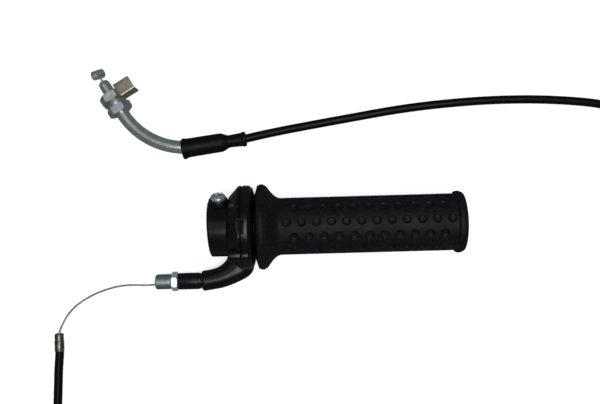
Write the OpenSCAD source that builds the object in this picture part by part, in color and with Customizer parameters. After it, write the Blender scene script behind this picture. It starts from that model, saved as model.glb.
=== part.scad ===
// Twist throttle for the right-hand end of a moped handlebar, with its pull cable and the
// bent steel elbow that the cable ends in at the carburettor.
// Units are millimetres. +X runs along the handlebar towards its outer end and +Z is up.
// The origin is on the handlebar's axis, in the middle of the clamp collar.
// The throttle lies on a level surface that the grip's flange touches, and so does its cable.

/* [Handlebar] */
// Bore of the clamp collar, for a 22.2 mm handlebar
clamp_bore_d = 22.8; // [22.7:0.05:22.8]
// Bore of the throttle tube, which turns on the handlebar
tube_bore_d = 22.4; // [22.3:0.05:22.4]

/* [Clamp collar and casing] */
// Width of the clamp collar along the handlebar
collar_w = 12.8; // [12:0.2:14]
// Outer diameter of the clamp collar
collar_d = 32; // [31:0.5:33]
// Outer diameter of the drum casing
casing_d = 47; // [46.5:0.5:47.5]
// Diameter of the drum chamber inside the casing
chamber_d = 38.8; // [38.6:0.1:39]
// Place along the handlebar where the casing parts from its cover
parting_x = 12.4; // [12.2:0.1:12.6]
// Place along the handlebar where the cover ends
cover_end_x = 19.3; // [19.2:0.1:19.4]

/* [Drum and throttle tube] */
// Angle that the grip turns through from closed to fully open
open_deg = 75; // [60:1:80]
// Radius at which the wire lies on the drum
drum_wire_r = 16; // [15.8:0.1:16.2]
// Outer diameter of the drum
drum_d = 37.6; // [37.2:0.1:37.8]
// Outer diameter of the throttle tube under the grip
tube_d = 26; // [25.6:0.1:26]
// Angle round the drum from where the wire leaves it to its nipple, throttle closed
wrap_deg = 35; // [30:1:40]

/* [Rubber grip] */
// Diameter of the grip where the hand holds it
grip_d = 32; // [31:0.5:33]
// Diameter of the flange at the grip's inner end
flange_d = 48; // [47.5:0.5:48]
// Diameter of the bead at the grip's outer end
bead_d = 35; // [34:0.5:36]
// Place along the handlebar where the grip ends
grip_end_x = 136; // [134:1:140]

/* [Cable adjuster] */
// Distance of the adjuster's axis in front of the handlebar's axis
adjuster_y = 31; // [30.5:0.5:31.5]
// Outer diameter of the horn where the bush enters it
horn_d = 11.8; // [11.4:0.2:12]
// Diameter of the bush between the horn and the locknut
bush_d = 9.7; // [9.3:0.1:10]
// Thread diameter of the adjuster
adjuster_thread_d = 6; // [5.8:0.1:6.2]
// Diameter of the adjuster's knurled head
adjuster_head_d = 8.8; // [8.4:0.1:9.2]
// Width of the adjuster's locknut across its flats
locknut_af = 10; // [9.5:0.5:10]

/* [Cable] */
// Diameter of the inner wire
wire_d = 1.2; // [1:0.1:1.4]
// Diameter of the outer cable
cable_d = 5; // [4.6:0.1:5]
// Diameter of the crimped ferrule at the outer cable's free end
ferrule_d = 5.5; // [5.4:0.1:5.6]

/* [Carburettor elbow] */
// Outer diameter of the bent steel pipe
pipe_d = 7.6; // [7.4:0.1:8]
// Radius of the bend, at the pipe's axis
bend_r = 43; // [42:0.5:44]
// Width of the pipe's nuts across their flats
pipe_nut_af = 13; // [12:0.5:13]
// Diameter of the barrel nipple at the wire's end
nipple_d = 5.3; // [5:0.1:5.5]
// Length of the barrel nipple
nipple_l = 6.8; // [6:0.2:7]

/* [Hidden] */
$fn = 96;

table_z = -flange_d / 2;          // the surface that everything lies on
horn_flat_z = table_z + 1.4;      // flat underside of the horn
fit_gap = 0.05;                   // radial room of a running fit
loose_gap = 0.1;                  // radial room of parts that are pushed together
lap = 0.3;                        // how far a bend reaches into the straights at its ends
hair = 0.1;                       // how much thinner a bend is than its straights
collar_r = collar_d / 2;
casing_r = casing_d / 2;
chamber_r = chamber_d / 2;
chamber_x = 9;                    // inner end of the drum chamber
tube_start_x = chamber_x + 0.3;
tube_end_x = grip_end_x - 3;
wire_x = 11.1;                    // plane in which the wire runs round the drum
groove_w = 2;
drum_end_x = 17.2;
cover_wall_x = 17.5;              // inner face of the cover's end wall

// Stops: a tooth in the cover stands in a notch of the drum's outer rim.
tooth_deg = 10;
tooth_start = 200;
stop_gap = 1;
notch_x = 14.4;
notch_r = 16.3;

// Clamp screw: radial, leaning up from the rear of the collar.
clamp_lean = 25;
clamp_seat_r = 18;
clamp_nut_w = 7;
clamp_nut_r = 12.3;
clamp_nut_t = 2.6;
clamp_boss_d = 11;
clamp_hole_d = 5.2;
clamp_screw_d = 5;
clamp_tip_r = 11.5;               // where the screw presses on the handlebar
clamp_head_d = 8.6;
clamp_cross = [4.6, 1.1, 1.4];    // length, width and depth of the recess

// Cover screws: two ears on the casing, opposite each other.
ear_angles = [-140, 40];          // counted round the bar from straight down, towards the rear
ear_circle_r = 22.4;
ear_r = 3.2;
ear_start_x = 5.5;                // inner end of the casing's ears
ear_seat_x = 8;                   // where a cover screw's head sits
ear_head_room_d = 5.8;
ear_hole_d = 3.2;
cover_ear_l = 4.2;
cover_hole_d = 3;
screw_head_d = 5.4;
screw_head_t = 2.15;
screw_shank_d = 2.9;
screw_shank_l = 6.6;
screw_cross = [3, 0.8, 1.2];      // length, width and depth of the recess

// Horn: an elbow that turns the wire from the drum's tangent to the adjuster's axis.
elbow_r = 14;
elbow_centre = [wire_x - elbow_r, elbow_r - adjuster_y];
horn_root_deg = 35;               // part of the elbow that is inside the flared root
horn_root_r = 8.6;
horn_end_x = -13.8;
bush_end_x = -27.1;
bush_spigot_d = 8;
conduit_d = 2.4;                  // way through the housing for the wire
slot_w = 2;
bush_root_x = -6;
locknut_t = 3.6;
head_start_x = bush_end_x - locknut_t - 0.1;
head_l = 9.4;
head_end_x = head_start_x - head_l;
socket_l = 7.5;                   // room in the adjuster's head for the outer cable's ferrule
bare_start_x = head_end_x + socket_l - 0.3;

// Elbow pipe: everything on it is placed along its axis, from the upper nut's centre.
pipe_z = table_z + pipe_nut_af / 2;
pipe_at = [-63.2, 77.8, pipe_z];
pipe_dir = -59.3;                 // heading of the straight threaded end, seen from above
boot_dir = 7;                     // heading where the pipe enters the boot
tip_a = -10.6;
bend_a = 11;
pipe_tail = 8;                    // straight stretch after the bend
boot_l = 37.8;
boot_lead = 7.6;                  // how far the boot reaches back over the bend
nut_t = 5;
tab_a = nut_t / 2 + 0.02;
tab_t = 1.2;
washer_t = 0.8;
spring_t = 1.2;
lower_nut_a = tab_a + tab_t + washer_t + spring_t + nut_t / 2 + 0.06;
nipple_a = -15.7;
nipple_lean = 42;                 // how far the nipple has rolled round the wire
end_wire_stop_a = 10;

// Routes. The bare wire bows from the adjuster to the ferrule; the outer cable runs from the
// ferrule round the front and the outer side and back to the boot.
ferrule_at = [-99.5, -60.5, table_z + ferrule_d / 2];
ferrule_l = 10.4;
cable_z = table_z + cable_d / 2;
bare_route = [
  [bare_start_x, -31, -16], [-36.5, -31.4, -16.1], [-40.5, -32.5, -16.4], [-46, -32.9, -16.9],
  [-52, -32.7, -17.4], [-58, -32.7, -17.9], [-64, -33.5, -18.5], [-70, -35, -19],
  [-76, -37.1, -19.5], [-82, -40, -20], [-87, -43.1, -20.4], [-91.5, -46.9, -20.8],
  [-95, -51.2, -21.1], [-97.6, -55.8, -21.2], [-99, -59, -21.2], [-99.5, -61.5, -21.2]
];
cable_route = [
  [-99.5, -63, -21.25], [-99.5, -72, -21.3], [-100.4, -82, cable_z], [-101.5, -102, cable_z],
  [-102.5, -118, cable_z], [-100, -134, cable_z], [-90, -148, cable_z], [-74, -156, cable_z],
  [-50, -159, cable_z], [-10, -160, cable_z], [40, -160, cable_z], [90, -160, cable_z],
  [140, -160, cable_z], [190, -160, cable_z], [226, -158, cable_z], [251, -148, cable_z],
  [268, -129, cable_z], [275, -104, cable_z], [277, -70, cable_z], [277, -35, cable_z],
  [276, -5, cable_z], [271, 24, cable_z], [260, 46, cable_z], [244, 60, cable_z],
  [224, 66.5, cable_z], [195, 69.8, cable_z], [165, 70.6, cable_z], [135, 69.4, cable_z],
  [106, 66.7, cable_z], [76, 62.3, cable_z], [46, 57.6, -21.3], [32, 55.1, -20],
  [22, 53.1, -18.6], [14.6, 51.5, -17.7], [8, 50.5, pipe_z], [1, 49.6, pipe_z],
  [-4, 49, pipe_z]
];
bare_rings = 18;
cable_rings = 62;

// ---- Helpers ----

// Turns a shape drawn about Z so that it lies about the handlebar's axis, height along +X.
// Angles then count from straight down, towards the rear.
module about_bar() {
  rotate([0, 90, 0]) children();
}

// A plain cylinder about the handlebar's axis between two places on it.
module bar_cylinder(r, x0, x1) {
  translate([x0, 0, 0]) about_bar() cylinder(r = r, h = x1 - x0);
}

// Puts a shape drawn along +Z on a spoke of the bar at the clamp screw, looking out from the bar.
module on_clamp_axis() {
  rotate([clamp_lean - 90, 0, 0]) children();
}

// Repeats a shape at both cover screws, drawn along +X.
module at_ears() {
  for (a = ear_angles) {
    translate([0, ear_circle_r * sin(a), -ear_circle_r * cos(a)]) rotate([0, 90, 0]) children();
  }
}

// A cylinder on the adjuster's axis, from x0 towards the horn.
module adjuster_cylinder(d, x0, x1) {
  translate([x0, -adjuster_y, -drum_wire_r]) rotate([0, 90, 0]) cylinder(d = d, h = x1 - x0);
}

// A round bar bent by an angle about Z, a hair thinner than d, lapping into a straight at each end.
module bend(r, d, angle) {
  over = lap / r * 180 / PI;
  rotate([0, 0, -over]) rotate_extrude(angle = angle + 2 * over)
    translate([r, 0]) circle(d = d - hair);
}

// Part of the horn's elbow, from where it meets the adjuster's axis.
module elbow_sweep(d, angle) {
  translate([elbow_centre.x, elbow_centre.y, -drum_wire_r]) rotate([0, 0, -90])
    bend(elbow_r, d, angle);
}

// Stands a shape drawn along +Z on the pipe's axis, a millimetres along it from the upper nut.
module on_pipe(a) {
  translate(pipe_at) rotate([0, 0, pipe_dir]) translate([a, 0, 0]) rotate([0, 90, 0]) children();
}

// The centre of the pipe's bend and the place and heading of its tail.
bend_start = [
  pipe_at.x + bend_a * cos(pipe_dir),
  pipe_at.y + bend_a * sin(pipe_dir)
];
bend_centre = bend_start + bend_r * [-sin(pipe_dir), cos(pipe_dir)];
tail_start = bend_centre + bend_r * [sin(boot_dir), -cos(boot_dir)];

// Stands a shape drawn along +Z on the boot's axis, s millimetres on from the end of the bend.
module on_boot(s) {
  translate([tail_start.x, tail_start.y, pipe_z]) rotate([0, 0, boot_dir])
    translate([s, 0, 0]) rotate([0, 90, 0]) children();
}

// The pipe's bend, at a given diameter.
module pipe_sweep(d) {
  translate([bend_centre.x, bend_centre.y, pipe_z]) rotate([0, 0, pipe_dir - 90])
    bend(bend_r, d, boot_dir - pipe_dir);
}

// A six-sided nut with a round hole, one flat down.
module hex_nut(af, bore_d, t) {
  difference() {
    intersection() {
      rotate([0, 0, 90]) cylinder(d = af / cos(30), h = t, $fn = 6);
      cylinder(d1 = af * 1.02, d2 = af * 1.02 + 2 * t, h = t);
      cylinder(d1 = af * 1.02 + 2 * t, d2 = af * 1.02, h = t);
    }
    translate([0, 0, -1]) cylinder(d = bore_d, h = t + 2);
  }
}

// Catmull-Rom interpolation of a list of points, at u counted in points.
function route_point(points, u) =
  let (
    last = len(points) - 1,
    i = min(floor(u), last - 1),
    t = u - i,
    p0 = points[max(i - 1, 0)],
    p1 = points[i],
    p2 = points[i + 1],
    p3 = points[min(i + 2, last)]
  )
  0.5 * (2 * p1 + (p2 - p0) * t + (2 * p0 - 5 * p1 + 4 * p2 - p3) * t * t
    + (3 * p1 - p0 - 3 * p2 + p3) * t * t * t);

// One closed tube of a given diameter, swept along a route that lies nearly level.
module route_tube(points, d, rings, sides = 8) {
  last = len(points) - 1;
  spine = [for (k = [0:rings - 1]) route_point(points, last * k / (rings - 1))];
  heading = [
    for (k = [0:rings - 1])
      let (
        ahead = spine[min(k + 1, rings - 1)] - spine[max(k - 1, 0)]
      )
      ahead / norm(ahead)
  ];
  corners = [
    for (k = [0:rings - 1])
      let (
        side = cross([0, 0, 1], heading[k]),
        across = side / norm(side),
        over = cross(heading[k], across)
      )
      for (j = [0:sides - 1])
        spine[k] + d / 2 * (cos(360 * j / sides) * across + sin(360 * j / sides) * over)
  ];
  walls = [
    for (k = [0:rings - 2], j = [0:sides - 1])
      let (
        n = (j + 1) % sides,
        a = k * sides,
        b = a + sides
      )
      each [[a + j, b + j, b + n], [a + j, b + n, a + n]]
  ];
  first_cap = [for (j = [0:sides - 1]) j];
  last_cap = [for (j = [sides - 1:-1:0]) (rings - 1) * sides + j];
  polyhedron(points = corners, faces = concat(walls, [first_cap, last_cap]));
}

// ---- Housing and what is fixed to it ----

module throttle_housing() {
  color("#17181a") difference() {
    union() {
      about_bar() rotate_extrude() polygon([
        [0, -collar_w / 2], [collar_r - 0.8, -collar_w / 2], [collar_r, 0.8 - collar_w / 2],
        [collar_r, 5], [17.4, 5.5], [casing_r - 0.7, 10.8], [casing_r, 11.4],
        [casing_r, parting_x], [0, parting_x]
      ]);
      horn();
      at_ears() translate([0, 0, ear_start_x]) cylinder(r = ear_r, h = parting_x - ear_start_x);
      on_clamp_axis() cylinder(d = clamp_boss_d, h = clamp_seat_r);
    }
    bar_cylinder(clamp_bore_d / 2, -collar_w / 2 - 1, parting_x + 1);
    bar_cylinder(chamber_r, chamber_x, parting_x + 8);
    // the horn keeps clear of the cover that it passes under
    bar_cylinder(casing_r + 0.3, parting_x, cover_end_x + 8);
    conduit();
    adjuster_cylinder(bush_spigot_d + 2 * loose_gap, horn_end_x - 1, bush_root_x);
    at_ears() {
      translate([0, 0, ear_seat_x / 2]) cylinder(d = ear_head_room_d, h = ear_seat_x / 2);
      translate([0, 0, ear_seat_x / 2]) cylinder(d = ear_hole_d, h = parting_x);
    }
    on_clamp_axis() {
      cylinder(d = clamp_hole_d, h = clamp_seat_r + 1);
      translate([-collar_w, -clamp_nut_w / 2 - loose_gap, clamp_nut_r - loose_gap])
        cube([collar_w + clamp_nut_w / 2 + loose_gap, clamp_nut_w + 2 * loose_gap,
              clamp_nut_t + 2 * loose_gap]);
    }
  }
}

// The horn: a flared root under the casing, an elbow, and a straight end for the bush.
module horn() {
  root = [
    elbow_centre.x + elbow_r * cos(-horn_root_deg),
    elbow_centre.y + elbow_r * sin(-horn_root_deg)
  ];
  difference() {
    union() {
      elbow_sweep(horn_d, 90 - horn_root_deg);
      adjuster_cylinder(horn_d, horn_end_x, elbow_centre.x);
      translate([root.x, root.y, -drum_wire_r]) rotate([0, 0, 90 - horn_root_deg])
        rotate([0, 90, 0]) cylinder(d1 = horn_d, r2 = horn_root_r, h = 9);
    }
    translate([-casing_d, -2 * adjuster_y, horn_flat_z - casing_d]) cube(casing_d * [2, 2, 1]);
  }
}

// The way of the wire from the drum through the horn. Inside the casing it is a slot that the
// cover closes, so that the wire can be laid in.
module conduit() {
  translate([wire_x, 0, -drum_wire_r]) rotate([90, 0, 0])
    cylinder(d = conduit_d, h = -elbow_centre.y);
  translate([wire_x, elbow_centre.y + 0.5, -drum_wire_r - slot_w / 2])
    cube([parting_x - wire_x + 1, -elbow_centre.y, slot_w]);
  elbow_sweep(conduit_d, 90);
  adjuster_cylinder(conduit_d, horn_end_x, elbow_centre.x);
}

module drum_cover() {
  color("#17181a") difference() {
    union() {
      about_bar() rotate_extrude() polygon([
        [0, parting_x + 0.02], [casing_r - 0.6, parting_x + 0.02], [casing_r - 0.6, parting_x + 0.5],
        [casing_r, parting_x + 0.7], [casing_r, 17.4], [casing_r - 0.9, 18.2],
        [18.9, cover_end_x], [0, cover_end_x]
      ]);
      at_ears() translate([0, 0, parting_x + 0.02]) cylinder(r = ear_r, h = cover_ear_l);
    }
    bar_cylinder(tube_d / 2 + 0.4, parting_x - 1, cover_end_x + 1);
    difference() {
      bar_cylinder(chamber_r, parting_x - 1, cover_wall_x);
      stop_tooth();
    }
    at_ears() translate([0, 0, parting_x - 1]) cylinder(d = cover_hole_d, h = cover_ear_l + 0.2);
  }
}

// The tooth that stands in the drum's notch and stops the grip at both ends of its turn.
module stop_tooth() {
  about_bar() rotate([0, 0, tooth_start]) rotate_extrude(angle = tooth_deg)
    translate([notch_r + 0.4, notch_x + 0.3])
      square([chamber_r - notch_r + 1, cover_wall_x - notch_x]);
}

module cover_screws() {
  color("#b9bcbf") at_ears() difference() {
    union() {
      translate([0, 0, ear_seat_x - fit_gap - screw_head_t]) cylinder(d = screw_head_d, h = screw_head_t);
      translate([0, 0, ear_seat_x - 2 * fit_gap]) cylinder(d = screw_shank_d, h = screw_shank_l);
    }
    translate([-screw_cross.x / 2, -screw_cross.y / 2, ear_seat_x - screw_head_t - 2 * fit_gap]) {
      cube(screw_cross);
      translate([(screw_cross.x - screw_cross.y) / 2, (screw_cross.y - screw_cross.x) / 2, 0])
        cube([screw_cross.y, screw_cross.x, screw_cross.z]);
    }
  }
}

module clamp_screw() {
  color("#c4c6c8") on_clamp_axis() difference() {
    union() {
      translate([0, 0, clamp_tip_r]) cylinder(d = clamp_screw_d, h = clamp_seat_r - clamp_tip_r + fit_gap);
      translate([0, 0, clamp_seat_r + 0.02]) cylinder(d = clamp_head_d, h = 1.5);
      translate([0, 0, clamp_seat_r + 1.5]) cylinder(d1 = clamp_head_d, d2 = 0.65 * clamp_head_d, h = 1.3);
    }
    rotate([0, 0, 45]) translate([0, 0, clamp_seat_r + 2.8]) {
      cube([clamp_cross.x, clamp_cross.y, 2 * clamp_cross.z], center = true);
      cube([clamp_cross.y, clamp_cross.x, 2 * clamp_cross.z], center = true);
    }
  }
}

module clamp_nut() {
  color("#a8abad") on_clamp_axis() translate([0, 0, clamp_nut_r]) difference() {
    translate([-clamp_nut_w / 2, -clamp_nut_w / 2, 0]) cube([clamp_nut_w, clamp_nut_w, clamp_nut_t]);
    translate([0, 0, -1]) cylinder(d = clamp_screw_d + 2 * fit_gap, h = clamp_nut_t + 2);
  }
}

module adjuster_bush() {
  color("#1b1c1f") difference() {
    union() {
      adjuster_cylinder(bush_d, bush_end_x, horn_end_x - 0.02);
      adjuster_cylinder(bush_spigot_d, horn_end_x - 0.1, bush_root_x - 0.1);
    }
    adjuster_cylinder(adjuster_thread_d, bush_end_x - 1, horn_end_x - 1);
    adjuster_cylinder(conduit_d, horn_end_x - 2, bush_root_x + 1);
  }
}

// ---- Adjuster ----

module adjuster_locknut() {
  color("#dfe1e2") translate([bush_end_x - locknut_t - 0.05, -adjuster_y, -drum_wire_r])
    rotate([0, 90, 0]) hex_nut(locknut_af, adjuster_thread_d, locknut_t);
}

module cable_adjuster() {
  color("#9fa3a6") difference() {
    union() {
      adjuster_cylinder(adjuster_head_d, head_end_x, head_start_x);
      adjuster_cylinder(adjuster_thread_d - 2 * fit_gap, head_start_x - 1, horn_end_x - 3);
    }
    adjuster_cylinder(ferrule_d + 0.2, head_end_x - 1, head_end_x + socket_l);
    adjuster_cylinder(3.2, head_end_x, horn_end_x);
  }
}

// ---- Twist grip ----

module throttle_tube() {
  color("#222326") difference() {
    about_bar() rotate_extrude() polygon([
      [tube_bore_d / 2, tube_start_x], [drum_d / 2, tube_start_x],
      [drum_d / 2, wire_x - groove_w / 2], [drum_wire_r - wire_d / 2 - loose_gap, wire_x - groove_w / 2],
      [drum_wire_r - wire_d / 2 - loose_gap, wire_x + groove_w / 2], [drum_d / 2, wire_x + groove_w / 2],
      [drum_d / 2, drum_end_x], [tube_d / 2, drum_end_x], [tube_d / 2, tube_end_x],
      [tube_bore_d / 2, tube_end_x]
    ]);
    at_nipple(tube_start_x - 1) cylinder(d = 5 + 2 * fit_gap, h = 5.8);
    drum_notch();
  }
}

// Stands a shape along +X where the nipple sits in the drum with the throttle closed.
module at_nipple(x) {
  translate([x, 0, 0]) about_bar() rotate([0, 0, wrap_deg - 90])
    translate([0, drum_wire_r, 0]) children();
}

// The notch in the drum's rim that the cover's tooth runs in.
module drum_notch() {
  notch_deg = open_deg + tooth_deg + 2 * stop_gap;
  about_bar() rotate([0, 0, tooth_start + tooth_deg + stop_gap - notch_deg])
    rotate_extrude(angle = notch_deg) translate([notch_r, notch_x]) square([6, 6]);
}

module grip_rubber() {
  flange_r = flange_d / 2;
  grip_r = grip_d / 2;
  bead_r = bead_d / 2;
  color("#1d1e20") about_bar() rotate_extrude() polygon(concat(
    [
      [tube_d / 2 + loose_gap, 19.8], [18.2, 19.8], [18.8, 20.1], [flange_r - 0.7, 21.6],
      [flange_r, 22.4], [flange_r, 25], [flange_r - 0.6, 25.8]
    ],
    [for (t = [0.15:0.17:1]) [grip_r + (flange_r - 1 - grip_r) * pow(1 - t, 1.5), 26 + 7 * t]],
    [
      [grip_r, 34], [grip_r, grip_end_x - 6.8], [bead_r - 0.5, grip_end_x - 6.2],
      [bead_r, grip_end_x - 5], [bead_r, grip_end_x - 1.8], [bead_r - 0.7, grip_end_x - 0.5],
      [bead_r - 2, grip_end_x], [0, grip_end_x], [0, tube_end_x + loose_gap],
      [tube_d / 2 + loose_gap, tube_end_x + loose_gap]
    ]
  ));
}

module drum_nipple() {
  color("#b6a26a") at_nipple(tube_start_x + 0.1) difference() {
    cylinder(d = 5, h = 4.6);
    translate([-6, 0, wire_x - tube_start_x - 0.1]) rotate([0, 90, 0])
      cylinder(d = wire_d + 2 * fit_gap, h = 6);
  }
}

// ---- Wire and cable ----

// The wire inside the housing: round the drum, through the horn and into the adjuster.
module drum_wire() {
  arc_end = wrap_deg - asin(2.5 / drum_wire_r) - 1.8;
  color("#a9acae") union() {
    translate([wire_x, 0, 0]) about_bar() bend(drum_wire_r, wire_d, arc_end);
    translate([wire_x, 0, -drum_wire_r]) rotate([90, 0, 0])
      cylinder(d = wire_d, h = -elbow_centre.y);
    elbow_sweep(wire_d, 90);
    adjuster_cylinder(wire_d, bare_start_x, elbow_centre.x);
  }
}

module bare_wire() {
  color("#8d9194") route_tube(bare_route, wire_d, bare_rings);
}

module near_ferrule() {
  color("#6f675a") translate(ferrule_at) rotate([90, 0, 0]) difference() {
    cylinder(d = ferrule_d, h = ferrule_l);
    translate([0, 0, 2]) cylinder(d = cable_d + 2 * fit_gap, h = ferrule_l);
    translate([0, 0, -1]) cylinder(d = 1.8, h = ferrule_l);
  }
}

module outer_cable() {
  color("#141517") route_tube(cable_route, cable_d, cable_rings);
}

module cable_boot() {
  color("#121315") on_boot(-boot_lead) difference() {
    rotate_extrude() polygon([
      [0, 0], [5.7, 0], [6.1, 0.5], [6.1, 2.2], [5.5, 3], [5.5, 22.5], [3.65, 29.6],
      [3.65, 33], [4.1, 33.6], [4.1, boot_l - 0.6], [3.6, boot_l], [0, boot_l]
    ]);
    // room for the pipe, which is still bending where the boot starts
    translate([0, 0, -1]) cylinder(d = pipe_d + 2, h = boot_lead + 1);
    cylinder(d = pipe_d + 2 * loose_gap, h = boot_lead + pipe_tail + 0.1);
    cylinder(d = 6.7, h = 26);
    cylinder(d = cable_d + 0.4, h = boot_l + 1);
    translate([0, 0, 30]) cylinder(d1 = cable_d + 0.4, d2 = cable_d + 1.6, h = boot_l - 30 + 0.1);
  }
}

module far_ferrule() {
  color("#8f9396") on_boot(pipe_tail + 0.1) difference() {
    cylinder(d = 6.5, h = 10);
    translate([0, 0, 1.5]) cylinder(d = cable_d + 0.5, h = 10);
    translate([0, 0, -1]) cylinder(d = 1.8, h = 10);
  }
}

// ---- Carburettor end ----

module elbow_pipe() {
  color("#a3a8a8") difference() {
    union() {
      on_pipe(tip_a) cylinder(d1 = 4.6, d2 = 6.6, h = 1.6);
      on_pipe(tip_a + 1.6) cylinder(d = 6.6, h = -tip_a - 1.6 - nut_t / 2);
      on_pipe(-nut_t / 2) cylinder(d = pipe_d, h = bend_a + nut_t / 2);
      pipe_sweep(pipe_d);
      on_boot(0) cylinder(d = pipe_d, h = pipe_tail);
    }
    on_pipe(tip_a - 1) cylinder(d = 3, h = bend_a - tip_a + 1);
    pipe_sweep(3);
    on_boot(0) cylinder(d = 3, h = pipe_tail + 1);
  }
}

module pipe_nuts() {
  color("#a9aba6") for (a = [0, lower_nut_a]) {
    on_pipe(a - nut_t / 2) hex_nut(pipe_nut_af, pipe_d + 2 * fit_gap, nut_t);
  }
}

module washer(d, t) {
  difference() {
    cylinder(d = d, h = t);
    translate([0, 0, -1]) cylinder(d = pipe_d + 2 * fit_gap, h = t + 2);
  }
}

module spring_washer() {
  color("#c9cccd") on_pipe(tab_a + tab_t + washer_t + 0.04) difference() {
    washer(12.4, spring_t);
    rotate([0, 0, 200]) translate([3, -0.5, -1]) rotate([20, 0, 0]) cube([5, 0.8, spring_t + 3]);
  }
}

module flat_washer() {
  color("#8c8f8c") on_pipe(tab_a + tab_t + 0.02) washer(12.9, washer_t);
}

// A bent stop: a plate on the pipe with a lug folded towards the tip.
module stop_tab() {
  color("#b3aa90") on_pipe(tab_a) {
    // drawn with +X down and +Y towards the far side of the pipe's bend
    difference() {
      union() {
        translate([-4.4, 0, 0]) cube([9.6, 14.6, tab_t]);
        cylinder(d = 14, h = tab_t);
        translate([-4.4, 4.6, -7.4]) cube([tab_t, 10, 7.5]);
      }
      translate([0, 0, -1]) cylinder(d = pipe_d + 2 * fit_gap, h = tab_t + 2);
      // the lug stays clear of the upper nut
      translate([0, 0, -nut_t - 0.1]) cylinder(d = pipe_nut_af / cos(30) + 0.4, h = nut_t + 0.08);
    }
  }
}

// The last of the wire, inside the straight end of the pipe, and the nipple soldered on it.
module end_wire() {
  color("#a9acae") on_pipe(nipple_a) cylinder(d = wire_d, h = end_wire_stop_a - nipple_a);
}

module end_nipple() {
  color("#777c7b") difference() {
    on_pipe(nipple_a) rotate([0, 0, -nipple_lean]) translate([0, nipple_l / 2, 0]) rotate([90, 0, 0])
      cylinder(d = nipple_d, h = nipple_l);
    on_pipe(nipple_a - 0.1) cylinder(d = wire_d + 0.04, h = nipple_d);
  }
}

throttle_housing();
drum_cover();
cover_screws();
clamp_screw();
clamp_nut();
adjuster_bush();
adjuster_locknut();
cable_adjuster();
throttle_tube();
grip_rubber();
drum_nipple();
drum_wire();
bare_wire();
near_ferrule();
outer_cable();
cable_boot();
far_ferrule();
elbow_pipe();
pipe_nuts();
spring_washer();
flat_washer();
stop_tab();
end_wire();
end_nipple();
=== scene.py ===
"""Finished look of a moped twist throttle, built around its fixed frame.

Sizes are in millimetres in the throttle's own frame: +X along the handlebar towards its outer
end, +Z up from the table, origin on the bar's axis in the middle of the clamp collar.
"""

import logging
import math
from collections.abc import Sequence
from dataclasses import dataclass, field
from enum import Enum

import bmesh
import bpy
from mathutils import Matrix, Vector

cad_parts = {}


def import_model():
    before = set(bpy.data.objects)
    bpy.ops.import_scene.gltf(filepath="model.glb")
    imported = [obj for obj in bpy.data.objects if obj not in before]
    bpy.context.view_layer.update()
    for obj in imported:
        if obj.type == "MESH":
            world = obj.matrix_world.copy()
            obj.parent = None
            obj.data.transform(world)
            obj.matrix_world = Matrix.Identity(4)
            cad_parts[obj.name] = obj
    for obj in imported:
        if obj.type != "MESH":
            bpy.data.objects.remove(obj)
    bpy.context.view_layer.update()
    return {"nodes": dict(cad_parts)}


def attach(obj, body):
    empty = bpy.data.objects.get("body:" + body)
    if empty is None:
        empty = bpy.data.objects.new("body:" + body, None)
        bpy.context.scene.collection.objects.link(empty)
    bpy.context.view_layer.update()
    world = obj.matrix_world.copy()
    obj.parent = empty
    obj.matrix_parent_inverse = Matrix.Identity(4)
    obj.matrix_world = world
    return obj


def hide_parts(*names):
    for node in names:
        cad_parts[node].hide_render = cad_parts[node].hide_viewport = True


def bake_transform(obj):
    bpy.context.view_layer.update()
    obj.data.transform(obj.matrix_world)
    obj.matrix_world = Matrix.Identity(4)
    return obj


LOG = logging.getLogger("throttle")
MM = 0.001
MERGE_MM = 0.002
TABLE_Z = -24.0
UP = Vector((0, 0, 1))
ALONG_BAR = Vector((1, 0, 0))


class Body(Enum):
    """The bodies of the throttle that pieces ride on."""

    HOUSING = "housing"
    GRIP = "twist_grip"
    ADJUSTER_SLIDER = "adjuster_slider"
    ADJUSTER_SCREW = "adjuster_screw"
    WIRE_END = "wire_end"


class Cut(Enum):
    """What a carving tool does to a piece."""

    REMOVE = "DIFFERENCE"
    JOIN = "UNION"
    KEEP = "INTERSECT"


# ---------------------------------------------------------------------------------------------
# Finishes
# ---------------------------------------------------------------------------------------------


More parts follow.
